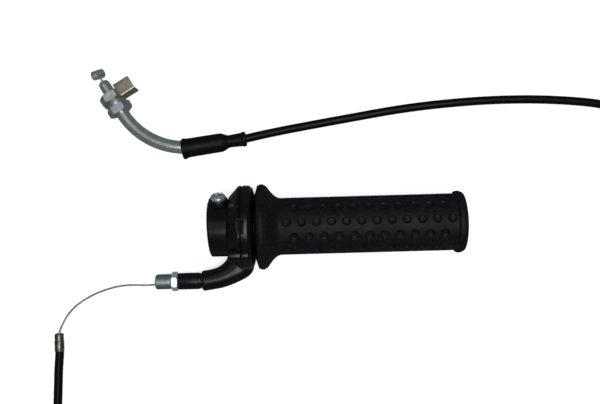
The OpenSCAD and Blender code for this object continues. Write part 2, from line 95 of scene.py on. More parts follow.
class NodeBench:
    """A material under construction, with short calls for its nodes."""

    def __init__(self, name: str) -> None:
        """Start a material that has a Principled shader and nothing else.

        Args:
            name: The material's name.
        """
        self.material = bpy.data.materials.new(name)
        self.material.use_nodes = True
        self.tree = self.material.node_tree
        self.shader = self.tree.nodes["Principled BSDF"]
        self.place = self.add("ShaderNodeTexCoord").outputs["Object"]

    def add(self, kind: str, **inputs: object) -> bpy.types.Node:
        """Add a node and set or link its inputs.

        Args:
            kind: The node's type name.
            **inputs: Input names, with underscores for spaces, and their value or source.

        Returns:
            The new node.
        """
        node = self.tree.nodes.new(kind)
        for name, value in inputs.items():
            self.feed(node.inputs[name.replace("_", " ")], value)
        return node

    def feed(self, socket: bpy.types.NodeSocket, value: object) -> None:
        """Link a socket to another one, or set its own value."""
        if isinstance(value, bpy.types.NodeSocket):
            self.tree.links.new(value, socket)
        else:
            socket.default_value = value

    def noise(
        self, size_mm: float, detail: float = 3.0, stretch: Sequence[float] = (1, 1, 1)
    ) -> bpy.types.NodeSocket:
        """Cloudy values from 0 to 1.

        Args:
            size_mm: The size of one cloud.
            detail: How many finer layers it has.
            stretch: How much longer the clouds are along X, Y and Z.

        Returns:
            The socket that gives the values.
        """
        scaled = self.add("ShaderNodeMapping", Vector=self.place)
        scaled.inputs["Scale"].default_value = [1 / s for s in stretch]
        cloud = self.add("ShaderNodeTexNoise", Vector=scaled.outputs["Vector"])
        cloud.inputs["Scale"].default_value = 1 / (size_mm * MM)
        cloud.inputs["Detail"].default_value = detail
        return cloud.outputs["Fac"]

    def ramp(
        self, values: bpy.types.NodeSocket, low: float, high: float, start: float = 0.3, end: float = 0.7
    ) -> bpy.types.NodeSocket:
        """Spread values from start to end over the range from low to high."""
        spread = self.add("ShaderNodeMapRange", Value=values)
        for name, value in (("From Min", start), ("From Max", end), ("To Min", low), ("To Max", high)):
            spread.inputs[name].default_value = value
        return spread.outputs["Result"]

    def tint(
        self, share: bpy.types.NodeSocket, first: Sequence[float], second: Sequence[float]
    ) -> bpy.types.NodeSocket:
        """Mix two colours by a share from 0 to 1."""
        mix = self.tree.nodes.new("ShaderNodeMix")
        mix.data_type = "RGBA"
        self.feed(mix.inputs["Factor"], share)
        colours = [s for s in mix.inputs if s.type == "RGBA"]
        colours[0].default_value = (*first, 1)
        colours[1].default_value = (*second, 1)
        return next(s for s in mix.outputs if s.type == "RGBA")

    def bump(
        self, height: bpy.types.NodeSocket, depth_mm: float, under: bpy.types.NodeSocket | None = None
    ) -> bpy.types.NodeSocket:
        """Turn heights from 0 to 1 into a surface's normal."""
        node = self.add("ShaderNodeBump", Height=height)
        node.inputs["Distance"].default_value = depth_mm * MM
        if under is not None:
            self.feed(node.inputs["Normal"], under)
        return node.outputs["Normal"]

    def set(self, **inputs: object) -> None:
        """Set or link inputs of the shader."""
        for name, value in inputs.items():
            self.feed(self.shader.inputs[name.replace("_", " ")], value)


@dataclass(frozen=True)
class MouldedPlastic:
    """Black moulded plastic: a fine skin from the mould, faint flow marks and a little dust."""

    name: str
    colour: tuple[float, float, float] = (0.003, 0.0034, 0.004)
    dust: tuple[float, float, float] = (0.012, 0.0125, 0.0135)
    roughness: tuple[float, float] = (0.2, 0.34)
    skin_mm: float = 0.25
    skin_depth_mm: float = 0.006
    gloss: float = 0.3

    def make(self) -> bpy.types.Material:
        """Build the material."""
        bench = NodeBench(self.name)
        flow = bench.noise(9, 2)
        dusty = bench.ramp(bench.noise(0.9, 6), 0.0, 1.0, 0.58, 0.78)
        skin = bench.bump(bench.noise(self.skin_mm, 2), self.skin_depth_mm)
        sink = bench.bump(bench.noise(6, 1), 0.02, skin)
        bench.set(
            Base_Color=bench.tint(dusty, self.colour, self.dust),
            Roughness=bench.ramp(flow, *self.roughness),
            Normal=sink,
            Specular_IOR_Level=self.gloss,
        )
        return bench.material


@dataclass(frozen=True)
class Rubber:
    """Black rubber with a satin bloom, fine pores and patches that hands have polished."""

    name: str
    colour: tuple[float, float, float] = (0.0045, 0.005, 0.006)
    bloom: tuple[float, float, float] = (0.009, 0.01, 0.0115)
    roughness: tuple[float, float] = (0.44, 0.6)
    pore_mm: float = 0.3
    pore_depth_mm: float = 0.015
    gloss: float = 0.12
    sheen: float = 0.0

    def make(self) -> bpy.types.Material:
        """Build the material."""
        bench = NodeBench(self.name)
        patches = bench.noise(11, 3)
        pores = bench.noise(self.pore_mm, 3)
        bench.set(
            Base_Color=bench.tint(
                bench.ramp(bench.noise(2.2, 6), 0.0, 1.0, 0.42, 0.75), self.colour, self.bloom
            ),
            Roughness=bench.ramp(patches, *self.roughness),
            Normal=bench.bump(pores, self.pore_depth_mm),
            Specular_IOR_Level=self.gloss,
            Sheen_Weight=self.sheen,
            Sheen_Roughness=0.4,
        )
        return bench.material


@dataclass(frozen=True)
class PlatedMetal:
    """Plated steel: two tints that drift into each other, fine scratches and a soft grain."""

    name: str
    colour: tuple[float, float, float] = (0.52, 0.54, 0.54)
    drift: tuple[float, float, float] = (0.36, 0.38, 0.37)
    roughness: tuple[float, float] = (0.2, 0.38)
    drift_mm: float = 3.0
    grain_mm: float = 0.12
    grain_depth_mm: float = 0.006
    stretch: tuple[float, float, float] = (1.0, 1.0, 1.0)
    spots: float = 0.5
    shine: float = 0.8

    def make(self) -> bpy.types.Material:
        """Build the material."""
        bench = NodeBench(self.name)
        cloud = bench.noise(self.drift_mm, 4)
        grain = bench.noise(self.grain_mm, 3, self.stretch)
        spots = bench.ramp(bench.noise(0.6, 5), 0.0, self.spots, 0.6, 0.75)
        base = bench.tint(bench.ramp(cloud, 0.0, 1.0), self.colour, self.drift)
        dulled = bench.tree.nodes.new("ShaderNodeMix")
        dulled.data_type = "RGBA"
        colours = [s for s in dulled.inputs if s.type == "RGBA"]
        bench.feed(dulled.inputs["Factor"], spots)
        bench.feed(colours[0], base)
        colours[1].default_value = (*(c * 0.45 for c in self.drift), 1)
        bench.set(
            Base_Color=next(s for s in dulled.outputs if s.type == "RGBA"),
            Metallic=self.shine,
            Roughness=bench.ramp(grain, *self.roughness),
            Normal=bench.bump(grain, self.grain_depth_mm),
        )
        return bench.material


@dataclass
class FinishShelf:
    """Every finish of the throttle, made once."""

    housing: bpy.types.Material = field(default_factory=lambda: MouldedPlastic("housing_gloss_black").make())
    bush: bpy.types.Material = field(
        default_factory=lambda: MouldedPlastic("bush_gloss_black", roughness=(0.24, 0.36)).make()
    )
    tube: bpy.types.Material = field(
        default_factory=lambda: MouldedPlastic("tube_black", roughness=(0.45, 0.6), skin_depth_mm=0.01).make()
    )
    grip: bpy.types.Material = field(default_factory=lambda: Rubber("grip_rubber_black").make())
    boot: bpy.types.Material = field(
        default_factory=lambda: Rubber(
            "boot_rubber_black",
            colour=(0.003, 0.003, 0.004),
            bloom=(0.005, 0.0055, 0.0065),
            roughness=(0.38, 0.52),
        ).make()
    )
    sheath: bpy.types.Material = field(
        default_factory=lambda: Rubber(
            "cable_sheath_black",
            colour=(0.003, 0.003, 0.0035),
            bloom=(0.005, 0.005, 0.0055),
            roughness=(0.26, 0.38),
            pore_depth_mm=0.005,
            gloss=0.1,
        ).make()
    )
    zinc: bpy.types.Material = field(default_factory=lambda: PlatedMetal("zinc_plate").make())
    screw: bpy.types.Material = field(
        default_factory=lambda: PlatedMetal(
            "bright_screw_zinc", colour=(0.66, 0.74, 0.74), drift=(0.42, 0.52, 0.52), roughness=(0.16, 0.3)
        ).make()
    )
    bright_nut: bpy.types.Material = field(
        default_factory=lambda: PlatedMetal(
            "bright_nut_zinc",
            colour=(0.95, 0.96, 0.96),
            drift=(0.85, 0.87, 0.87),
            roughness=(0.3, 0.46),
            spots=0.1,
        ).make()
    )
    knurl: bpy.types.Material = field(
        default_factory=lambda: PlatedMetal(
            "knurled_steel", colour=(0.34, 0.38, 0.38), drift=(0.22, 0.26, 0.26), roughness=(0.32, 0.48)
        ).make()
    )
    pipe: bpy.types.Material = field(
        default_factory=lambda: PlatedMetal(
            "pipe_zinc",
            colour=(0.56, 0.6, 0.585),
            drift=(0.44, 0.48, 0.46),
            roughness=(0.17, 0.3),
            drift_mm=7.0,
            spots=0.25,
        ).make()
    )
    yellow: bpy.types.Material = field(
        default_factory=lambda: PlatedMetal(
            "yellow_passivated_zinc",
            colour=(0.42, 0.35, 0.24),
            drift=(0.24, 0.23, 0.18),
            roughness=(0.26, 0.4),
        ).make()
    )
    wire: bpy.types.Material = field(
        default_factory=lambda: PlatedMetal(
            "wire_steel",
            colour=(0.42, 0.43, 0.44),
            drift=(0.3, 0.31, 0.31),
            roughness=(0.25, 0.4),
            drift_mm=5.0,
        ).make()
    )
    bronze: bpy.types.Material = field(
        default_factory=lambda: PlatedMetal(
            "ferrule_bronze",
            colour=(0.22, 0.205, 0.17),
            drift=(0.08, 0.07, 0.055),
            roughness=(0.26, 0.4),
            drift_mm=2.0,
        ).make()
    )
    brass: bpy.types.Material = field(
        default_factory=lambda: PlatedMetal(
            "nipple_brass", colour=(0.66, 0.5, 0.26), drift=(0.45, 0.34, 0.18), roughness=(0.3, 0.45)
        ).make()
    )
    cast_zinc: bpy.types.Material = field(
        default_factory=lambda: PlatedMetal(
            "cast_zinc",
            colour=(0.56, 0.61, 0.59),
            drift=(0.36, 0.4, 0.38),
            roughness=(0.3, 0.48),
            grain_depth_mm=0.02,
            drift_mm=2.5,
        ).make()
    )


# ---------------------------------------------------------------------------------------------
# The workshop: lathe, loft and the other ways that shapes are made
# ---------------------------------------------------------------------------------------------


def axis_place(origin: Sequence[float], along: Vector, up: Vector = UP) -> Matrix:
    """A place whose +Z runs along an axis and whose +X leans towards up.

    Args:
        origin: The place's own origin, in millimetres.
        along: The direction of its +Z.
        up: What its +X leans towards.

    Returns:
        The matrix from the place to the throttle's frame.
    """
    z = Vector(along).normalized()
    x = (Vector(up) - z * Vector(up).dot(z)).normalized()
    y = z.cross(x)
    return Matrix.Translation(Vector(origin)) @ Matrix((x, y, z)).transposed().to_4x4()


BAR = axis_place((0, 0, 0), ALONG_BAR)


def rounded(
    corners: Sequence[tuple[float, ...]], closed: bool = True, segments: int = 4
) -> list[tuple[float, float]]:
    """Round the corners of an outline.

    Args:
        corners: Points of two numbers, and a third where the corner has a radius.
        closed: Whether the outline runs back to its first point.
        segments: How many steps an arc has.

    Returns:
        The outline's points.
    """
    count, outline = len(corners), []
    for i, corner in enumerate(corners):
        here = Vector(corner[:2])
        if len(corner) < 3 or (not closed and i in (0, count - 1)):
            outline.append(tuple(here))
            continue
        back = Vector(corners[i - 1][:2]) - here
        ahead = Vector(corners[(i + 1) % count][:2]) - here
        half = back.angle(ahead) / 2
        reach = min(corner[2] / math.tan(half), 0.48 * back.length, 0.48 * ahead.length)
        inward = (back.normalized() + ahead.normalized()).normalized()
        centre = here + inward * reach / math.cos(half)
        first = here + back.normalized() * reach - centre
        last = here + ahead.normalized() * reach - centre
        for k in range(segments + 1):
            spoke = first.normalized().slerp(last.normalized(), k / segments)
            outline.append(tuple(centre + spoke * first.length))
    return outline


def lathe(profile: Sequence[tuple[float, float]], steps: int = 96, closed: bool = True) -> bmesh.types.BMesh:
    """Turn an outline about Z.

    Args:
        profile: Points of radius and height.
        steps: How many sides the turned shape has.
        closed: Whether the outline runs back to its first point.

    Returns:
        The turned mesh, in millimetres.
    """
    bm = bmesh.new()
    points = [bm.verts.new((radius, 0.0, height)) for radius, height in profile]
    ends = points[1:] + points[:1] if closed else points[1:]
    edges = [bm.edges.new(pair) for pair in zip(points, ends)]
    bmesh.ops.spin(
        bm,
        geom=points + edges,
        cent=(0, 0, 0),
        axis=(0, 0, 1),
        angle=math.tau,
        steps=steps,
        use_merge=True,
        use_duplicate=False,
    )
    bmesh.ops.remove_doubles(bm, verts=bm.verts, dist=MERGE_MM)
    return bm


@dataclass(frozen=True)
class Ring:
    """One ring of a loft: its place, half-widths along its own X and Y, squareness and twist."""

    place: Matrix
    half_x: float
    half_y: float
    power: float = 2.0
    lobes: int = 0
    lobe_depth: float = 0.0
    twist: float = 0.0

    def point(self, spoke: float) -> Vector:
        """The ring's point at an angle, in the throttle's frame."""
        shape = 1.0
        if self.lobes:
            shape -= self.lobe_depth * (1 - abs(math.cos(self.lobes * spoke / 2)))
        turned = spoke + self.twist
        c, s = math.cos(turned), math.sin(turned)
        x = math.copysign(abs(c) ** (2 / self.power), c)
        y = math.copysign(abs(s) ** (2 / self.power), s)
        return self.place @ Vector((self.half_x * shape * x, self.half_y * shape * y, 0))


def loft(rings: Sequence[Ring], sides: int = 32, capped: bool = True) -> bmesh.types.BMesh:
    """Skin a row of rings.

    Args:
        rings: The rings in order.
        sides: How many points each ring has.
        capped: Whether both ends are closed.

    Returns:
        The skinned mesh.
    """
    bm = bmesh.new()
    spokes = bm.verts.layers.int.new("spoke")
    bmesh.ops.create_circle(bm, cap_ends=capped, segments=sides, radius=1.0)
    bm.verts.ensure_lookup_table()
    for i, vert in enumerate(bm.verts):
        vert[spokes] = i
    ring_verts, ring_edges = list(bm.verts), list(bm.edges)
    for i, ring in enumerate(rings):
        if i:
            made = bmesh.ops.extrude_edge_only(bm, edges=ring_edges)["geom"]
            ring_verts = [g for g in made if isinstance(g, bmesh.types.BMVert)]
            fresh = set(ring_verts)
            ring_edges = [
                g for g in made if isinstance(g, bmesh.types.BMEdge) and fresh.issuperset(g.verts)
            ]
        for vert in ring_verts:
            vert.co = ring.point(math.tau * vert[spokes] / sides)
    if capped:
        bmesh.ops.contextual_create(bm, geom=ring_edges)
    return bm


def route_points(points: Sequence[Sequence[float]], steps: int) -> list[Vector]:
    """Even points on the smooth curve through a route.

    Args:
        points: The route's points.
        steps: How many stretches the curve is cut into.

    Returns:
        The curve's points, its two ends included.
    """
    stops = [Vector(p) for p in points]
    last, spine = len(stops) - 1, []
    for k in range(steps + 1):
        u = last * k / steps
        i = min(int(u), last - 1)
        t = u - i
        p0, p1, p2, p3 = stops[max(i - 1, 0)], stops[i], stops[i + 1], stops[min(i + 2, last)]
        spine.append(
            (
                2 * p1
                + (p2 - p0) * t
                + (2 * p0 - 5 * p1 + 4 * p2 - p3) * t**2
                + (3 * p1 - p0 - 3 * p2 + p3) * t**3
            )
            / 2
        )
    return spine


def spine_places(spine: Sequence[Vector], up: Vector = UP) -> list[Matrix]:
    """A place at each point of a line, with +Z along the line."""
    last = len(spine) - 1
    return [axis_place(p, spine[min(i + 1, last)] - spine[max(i - 1, 0)], up) for i, p in enumerate(spine)]


def to_piece(
    bm: bmesh.types.BMesh, name: str, place: Matrix | None = None, sharp: float = 35.0
) -> bpy.types.Object:
    """Turn a mesh in millimetres into a piece in metres.

    Args:
        bm: The mesh, which is freed.
        name: The piece's name.
        place: Where it stands in the throttle's frame.
        sharp: Edges that bend by more than this many degrees stay sharp.

    Returns:
        The piece.
    """
    bmesh.ops.remove_doubles(bm, verts=bm.verts, dist=MERGE_MM)
    bmesh.ops.recalc_face_normals(bm, faces=bm.faces)
    bmesh.ops.transform(bm, matrix=Matrix.Scale(MM, 4) @ (place or Matrix.Identity(4)), verts=bm.verts)
    mesh = bpy.data.meshes.new(name)
    bm.to_mesh(mesh)
    bm.free()
    piece = bpy.data.objects.new(name, mesh)
    bpy.context.scene.collection.objects.link(piece)
    smooth(piece, sharp)
    return piece


def smooth(piece: bpy.types.Object, sharp: float = 35.0) -> None:
    """Shade a piece smooth, apart from edges that bend by more than sharp degrees."""
    for face in piece.data.polygons:
        face.use_smooth = True
    piece.data.set_sharp_from_angle(angle=math.radians(sharp))


def settle(piece: bpy.types.Object) -> None:
    """Apply a piece's modifiers to its mesh."""
    bpy.context.view_layer.update()
    evaluated = piece.evaluated_get(bpy.context.evaluated_depsgraph_get())
    mesh = bpy.data.meshes.new_from_object(evaluated)
    old, piece.data = piece.data, mesh
    piece.modifiers.clear()
    bpy.data.meshes.remove(old)
    mesh.name = piece.name


def carve(piece: bpy.types.Object, tool: bpy.types.Object, cut: Cut) -> None:
    """Join a tool's shape to a piece or cut it away, and put the tool away."""
    modifier = piece.modifiers.new("carve", "BOOLEAN")
    modifier.operation = cut.value
    modifier.solver = "EXACT"
    modifier.object = tool
    settle(piece)
    bpy.data.objects.remove(tool)


def carve_all(piece: bpy.types.Object, tools: Sequence[bmesh.types.BMesh], cut: Cut) -> None:
    """Carve a piece with meshes that already stand in the throttle's frame."""
    for tool in tools:
        carve(piece, to_piece(tool, "tool"), cut)


def rod(place: Matrix, radius: float, start: float, end: float, sides: int = 48) -> bmesh.types.BMesh:
    """A plain round tool along a place's +Z."""
    bm = bmesh.new()
    stand = place @ Matrix.Translation((0, 0, (start + end) / 2))
    bmesh.ops.create_cone(
        bm, cap_ends=True, segments=sides, radius1=radius, radius2=radius, depth=end - start, matrix=stand
    )
    return bm


def block(place: Matrix, low: Sequence[float], high: Sequence[float]) -> bmesh.types.BMesh:
    """A plain box tool between two corners of a place."""
    bm = bmesh.new()
    size = [h - l for l, h in zip(low, high)]
    middle = [(h + l) / 2 for l, h in zip(low, high)]
    stand = place @ Matrix.Translation(middle) @ Matrix.Diagonal((*size, 1))
    bmesh.ops.create_cube(bm, size=1.0, matrix=stand)
    return bm


def soften(bm: bmesh.types.BMesh, width: float, limit: float = 30.0, segments: int = 3) -> None:
    """Round every edge that bends by more than limit degrees."""
    edges = [e for e in bm.edges if len(e.link_faces) == 2 and e.calc_face_angle(0) > math.radians(limit)]
    bmesh.ops.bevel(
        bm,
        geom=edges,
        offset=width,
        offset_type="OFFSET",
        affect="EDGES",
        segments=segments,
        profile=0.5,
        material=-1,
        clamp_overlap=True,
    )


def six_sided(
    across_flats: float, bore: float, thickness: float, flat_first: bool = True
) -> bmesh.types.BMesh:
    """A nut blank along +Z with both faces chamfered as a lathe leaves them.

    Args:
        across_flats: Width between opposite flats.
        bore: Diameter of the hole.
        thickness: Height of the nut.
        flat_first: Whether a flat faces +X, and not a corner.

    Returns:
        The nut, in millimetres.
    """
    corner = across_flats / 2 / math.cos(math.pi / 6)
    turn = Matrix.Rotation(0 if flat_first else math.pi / 6, 4, "Z")
    prism = bmesh.new()
    bmesh.ops.create_cone(
        prism,
        cap_ends=True,
        segments=6,
        radius1=corner,
        radius2=corner,
        depth=thickness,
        matrix=Matrix.Translation((0, 0, thickness / 2)) @ turn,
    )
    bmesh.ops.bevel(
        prism,
        geom=[e for e in prism.edges if abs(e.verts[0].co.z - e.verts[1].co.z) > thickness / 2],
        offset=0.18,
        offset_type="OFFSET",
        affect="EDGES",
        segments=2,
        profile=0.5,
        material=-1,
    )
    rim = across_flats / 2 * 0.97
    drop = (corner - rim) * math.tan(math.radians(30))
    wide = corner + 1
    chamfer = lathe(
        rounded(
            [
                (bore / 2 + 0.35, 0, 0.1),
                (rim, 0, 0.25),
                (wide, drop + 1 * math.tan(math.radians(30))),
                (wide, thickness - drop - 1 * math.tan(math.radians(30))),
                (rim, thickness, 0.25),
                (bore / 2 + 0.35, thickness, 0.1),
                (bore / 2, thickness - 0.35),
                (bore / 2, 0.35),
            ]
        ),
        96,
    )
    nut = to_piece(prism, "nut")
    carve(nut, to_piece(chamfer, "chamfer"), Cut.KEEP)
    bm = bmesh.new()
    bm.from_mesh(nut.data)
    bmesh.ops.scale(bm, vec=(1 / MM,) * 3, verts=bm.verts)
    bpy.data.objects.remove(nut)
    return bm


def cross_tool(place: Matrix, wing: float, width: float, depth: float) -> list[bmesh.types.BMesh]:
    """The four-winged taper that cuts a cross recess, from a place down its -Z."""
    wings = []
    for turn in (0, math.pi / 2):
        bm = bmesh.new()
        bmesh.ops.create_cube(bm, size=1.0)
        for vert in bm.verts:
            bottom = vert.co.z < 0
            vert.co.x *= 2 * wing * (0.45 if bottom else 1.0)
            vert.co.y *= width * (0.75 if bottom else 1.0)
            vert.co.z = -depth if bottom else 0.6
        bmesh.ops.transform(bm, matrix=place @ Matrix.Rotation(turn, 4, "Z"), verts=bm.verts)
        wings.append(bm)
    return wings


def hand_over(
    piece: bpy.types.Object,
    body: Body,
    finish: bpy.types.Material,
    stands_for: Sequence[str] = (),
    sharp: float = 35.0,
) -> bpy.types.Object:
    """Give a finished piece its material, its body and the nodes that it stands for.

    Args:
        piece: The piece.
        body: The body that it moves with.
        finish: Its material.
        stands_for: Names of the plain nodes that it replaces.
        sharp: Edges that bend by more than this many degrees stay sharp.

    Returns:
        The same piece.
    """
    piece.data.materials.clear()
    piece.data.materials.append(finish)
    if piece.type == "MESH":
        smooth(piece, sharp)
    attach(piece, body.value)
    if stands_for:
        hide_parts(*stands_for)
    LOG.info("%s: %s", piece.name, body.value)
    return piece


# ---------------------------------------------------------------------------------------------
# Housing
# ---------------------------------------------------------------------------------------------


def ear_place(angle: float, radius: float) -> Matrix:
    """A place along the bar at a cover screw, by its angle round the bar from straight down."""
    turn = math.radians(angle)
    return axis_place((0, radius * math.sin(turn), -radius * math.cos(turn)), ALONG_BAR)


@dataclass
class Housing:
    """The casing with its clamp collar and cable horn, the cover, and their screws."""

    finishes: FinishShelf
    bore_r: float = 11.4
    collar_r: float = 16.0
    casing_r: float = 23.5
    chamber_r: float = 19.4
    parting_x: float = 12.4
    # degrees from straight up, towards the front
    tooth_from_top: float = 20.0
    tooth_width: float = 10.0
    ears: tuple[float, float] = (-140.0, 40.0)
    ear_circle_r: float = 22.4
    ear_r: float = 3.2
    clamp_lean: float = 25.0
    clamp_seat_r: float = 18.0
    horn_y: float = -31.0
    horn_z: float = -16.0

    @property
    def clamp(self) -> Matrix:
        """The clamp screw's place, looking out from the bar."""
        lean = math.radians(self.clamp_lean)
        return axis_place((0, 0, 0), Vector((0, math.cos(lean), math.sin(lean))), ALONG_BAR)

    def horn(self) -> bmesh.types.BMesh:
        """Loft the horn from its flared root under the casing to its straight end."""
        # inner and outer side in plan, half height and squareness
        stations = [
            ((5.6, -7.0), (17.0, -9.5), 5.2, 2.3),
            ((3.4, -12.6), (17.2, -17.0), 6.0, 2.3),
            ((1.6, -18.4), (17.3, -24.0), 6.4, 2.25),
            ((-0.9, -21.4), (14.6, -28.6), 6.4, 2.2),
            ((-4.2, -23.4), (7.5, -32.4), 6.2, 2.15),
            ((-8.5, -24.6), (-1.0, -35.3), 6.0, 2.1),
            ((-12.0, -25.1), (-11.6, -36.9), 5.9, 2.0),
        ]
        spread = [
            route_points([(*s[side], 0.0) for s in stations], 40) for side in (0, 1)
        ]
        sizes = route_points([(s[2], s[3], 0.0) for s in stations], 40)
        rings = [self.horn_ring(near, far, size.x, size.y) for near, far, size in zip(*spread, sizes)]
        near, far = spread[0][-1], spread[1][-1]
        for step in range(1, 5):
            turn = step / 4 * math.pi / 2
            pull = 1.2 * (1 - math.cos(turn))
            ahead = Vector((-1.4 * math.sin(turn), 0, 0))
            inset = (far - near).normalized() * pull
            rings.append(self.horn_ring(near + ahead + inset, far + ahead - inset, 5.9 - pull, 2.0))
        return loft(rings, 56)

    def horn_ring(self, near: Vector, far: Vector, half_height: float, power: float) -> Ring:
        """One upright ring of the horn between two points in plan."""
        across = far - near
        middle = (near + far) / 2 + Vector((0, 0, self.horn_z))
        place = axis_place(middle, across.cross(UP), UP)
        return Ring(place, half_height, across.length / 2, power)

    def casing(self) -> bpy.types.Object:
        """Build the casing as one moulding: collar, drum casing, ears, clamp boss and horn."""
        shell = lathe(
            rounded(
                [
                    (0, -6.4),
                    (self.collar_r, -6.4, 1.5),
                    (self.collar_r, 4.9, 0.6),
                    (17.5, 5.5, 0.5),
                    (22.6, 10.2, 1.6),
                    (self.casing_r, 11.2, 0.6),
                    (self.casing_r, self.parting_x - 0.05, 0.3),
                    (0, self.parting_x - 0.05),
                ],
                closed=False,
                segments=5,
            ),
            120,
            False,
        )
        for vert in shell.verts:
            # the collar's inboard face leans a little
            if vert.co.z < -2:
                vert.co.z += 1.1 * (vert.co.y / self.collar_r + 1) / 2 * (-2 - vert.co.z) / 4.4
        piece = to_piece(shell, "casing", BAR)
        horn = to_piece(self.horn(), "horn")
        carve_all(horn, [self.cover_room()], Cut.REMOVE)
        carve(piece, horn, Cut.JOIN)
        joined = [self.boss(), *(self.ear(angle, 5.5, self.parting_x - 0.05) for angle in self.ears)]
        carve_all(piece, joined, Cut.JOIN)
        removed = [
            self.hollow(),
            rod(axis_place((0, self.horn_y, self.horn_z), ALONG_BAR), 4.1, -16.0, -6.0),
            rod(self.clamp, 2.6, 9.0, 19.0, 32),
            block(self.clamp, (-8.0, -3.6, 12.2), (3.6, 3.6, 15.0)),
            self.pocket(),
            self.conduit(),
        ]
        for angle in self.ears:
            place = ear_place(angle, self.ear_circle_r)
            removed += [rod(place, 2.9, 4.0, 8.0, 40), rod(place, 1.6, 7.0, 14.0, 24)]
        carve_all(piece, removed, Cut.REMOVE)
        return hand_over(
            piece, Body.HOUSING, self.finishes.housing, ["throttle_housing"], 28
        )

    def hollow(self) -> bmesh.types.BMesh:
        """The bore of the collar and the drum's chamber behind it."""
        step, bore, chamber = 9.0, self.bore_r, self.chamber_r
        bm = lathe([(0, -9), (bore, -9), (bore, step), (chamber, step), (chamber, 14), (0, 14)], 120, False)
        bmesh.ops.transform(bm, matrix=BAR, verts=bm.verts)
        return bm

    def ear(self, angle: float, start: float, end: float) -> bmesh.types.BMesh:
        """A screw ear along the bar, rounded at its start and its end."""
        outline = [(0, start), (self.ear_r, start, 0.7), (self.ear_r, end, 0.3), (0, end)]
        bm = lathe(rounded(outline, closed=False), 48, False)
        bmesh.ops.transform(bm, matrix=ear_place(angle, self.ear_circle_r), verts=bm.verts)
        return bm

    def boss(self) -> bmesh.types.BMesh:
        """The seat of the clamp screw on the collar."""
        outline = [(0, 12.0), (5.5, 12.0), (5.3, self.clamp_seat_r, 0.5), (0, self.clamp_seat_r)]
        bm = lathe(rounded(outline, closed=False), 64, False)
        bmesh.ops.transform(bm, matrix=self.clamp, verts=bm.verts)
        return bm

    def cover_room(self) -> bmesh.types.BMesh:
        """The room over the horn's root that the cover takes."""
        start, radius = self.parting_x - 0.1, self.casing_r + 0.15
        bm = lathe([(0, start), (radius, start), (radius, 21.0), (0, 21.0)], 120, False)
        bmesh.ops.transform(bm, matrix=BAR, verts=bm.verts)
        return bm

    def pocket(self) -> bmesh.types.BMesh:
        """The shallow pocket at the top, half in the casing's rim and half in the cover's."""
        place = Matrix.Translation((12.6, 0, 22.3)) @ Matrix.Rotation(math.radians(-15), 4, "Y")
        bm = block(place, (-2.2, -2.9, 0.0), (2.3, 4.6, 3.4))
        soften(bm, 0.4)
        return bm

    def conduit(self) -> bmesh.types.BMesh:
        """The way of the wire from the drum through the horn."""
        centre, bend_r, plane = Vector((-2.9, -17.0, self.horn_z)), 14.0, 11.1
        line = [Vector((plane, y, self.horn_z)) for y in (0.0, -8.0, -16.9)]
        for step in range(13):
            turn = -math.pi / 2 * step / 12
            line.append(centre + bend_r * Vector((math.cos(turn), math.sin(turn), 0)))
        line.append(Vector((-8.0, self.horn_y, self.horn_z)))
        return loft([Ring(place, 1.2, 1.2) for place in spine_places(line)], 16)

    def cover(self) -> bpy.types.Object:
        """Build the drum cover with its two ears."""
        start = self.parting_x + 0.05
        shell = lathe(
            rounded(
                [
                    (0, start),
                    (self.casing_r - 0.75, start, 0.2),
                    (self.casing_r - 0.75, start + 0.55, 0.15),
                    (self.casing_r, start + 0.75, 0.3),
                    (self.casing_r, 16.6, 1.8),
                    (self.casing_r - 1.6, 18.5, 0.9),
                    (19.2, 19.3, 0.4),
                    (0, 19.3),
                ],
                closed=False,
                segments=5,
            ),
            120,
            False,
        )
        piece = to_piece(shell, "drum_cover_shell", BAR)
        carve_all(piece, [self.ear(angle, start, 16.6) for angle in self.ears], Cut.JOIN)
        chamber, mouth = self.chamber_r, 13.4
        outline = [(0, 11), (chamber, 11), (chamber, 17.5), (mouth, 17.5), (mouth, 21), (0, 21)]
        room = lathe(outline, 120, False)
        bmesh.ops.transform(room, matrix=BAR, verts=room.verts)
        holes = [rod(ear_place(angle, self.ear_circle_r), 1.5, 11.0, 15.8, 24) for angle in self.ears]
        removed = [room, self.pocket(), *holes]
        carve_all(piece, removed, Cut.REMOVE)
        carve_all(piece, [self.tooth()], Cut.JOIN)
        return hand_over(piece, Body.HOUSING, self.finishes.housing, ["drum_cover"], 28)

    def tooth(self) -> bmesh.types.BMesh:
        """The stop tooth inside the cover, which stands in the drum's notch."""
        bm = bmesh.new()
        corners = ((16.7, 0, 14.7), (20.4, 0, 14.7), (20.4, 0, 18.2), (16.7, 0, 18.2))
        face = bm.faces.new([bm.verts.new(corner) for corner in corners])
        bmesh.ops.spin(
            bm,
            geom=[face],
            cent=(0, 0, 0),
            axis=(0, 0, 1),
            angle=math.radians(self.tooth_width),
            steps=4,
            use_duplicate=False,
        )
        turn = Matrix.Rotation(math.radians(self.tooth_from_top), 4, "Z")
        bmesh.ops.transform(bm, matrix=BAR @ turn, verts=bm.verts)
        return bm

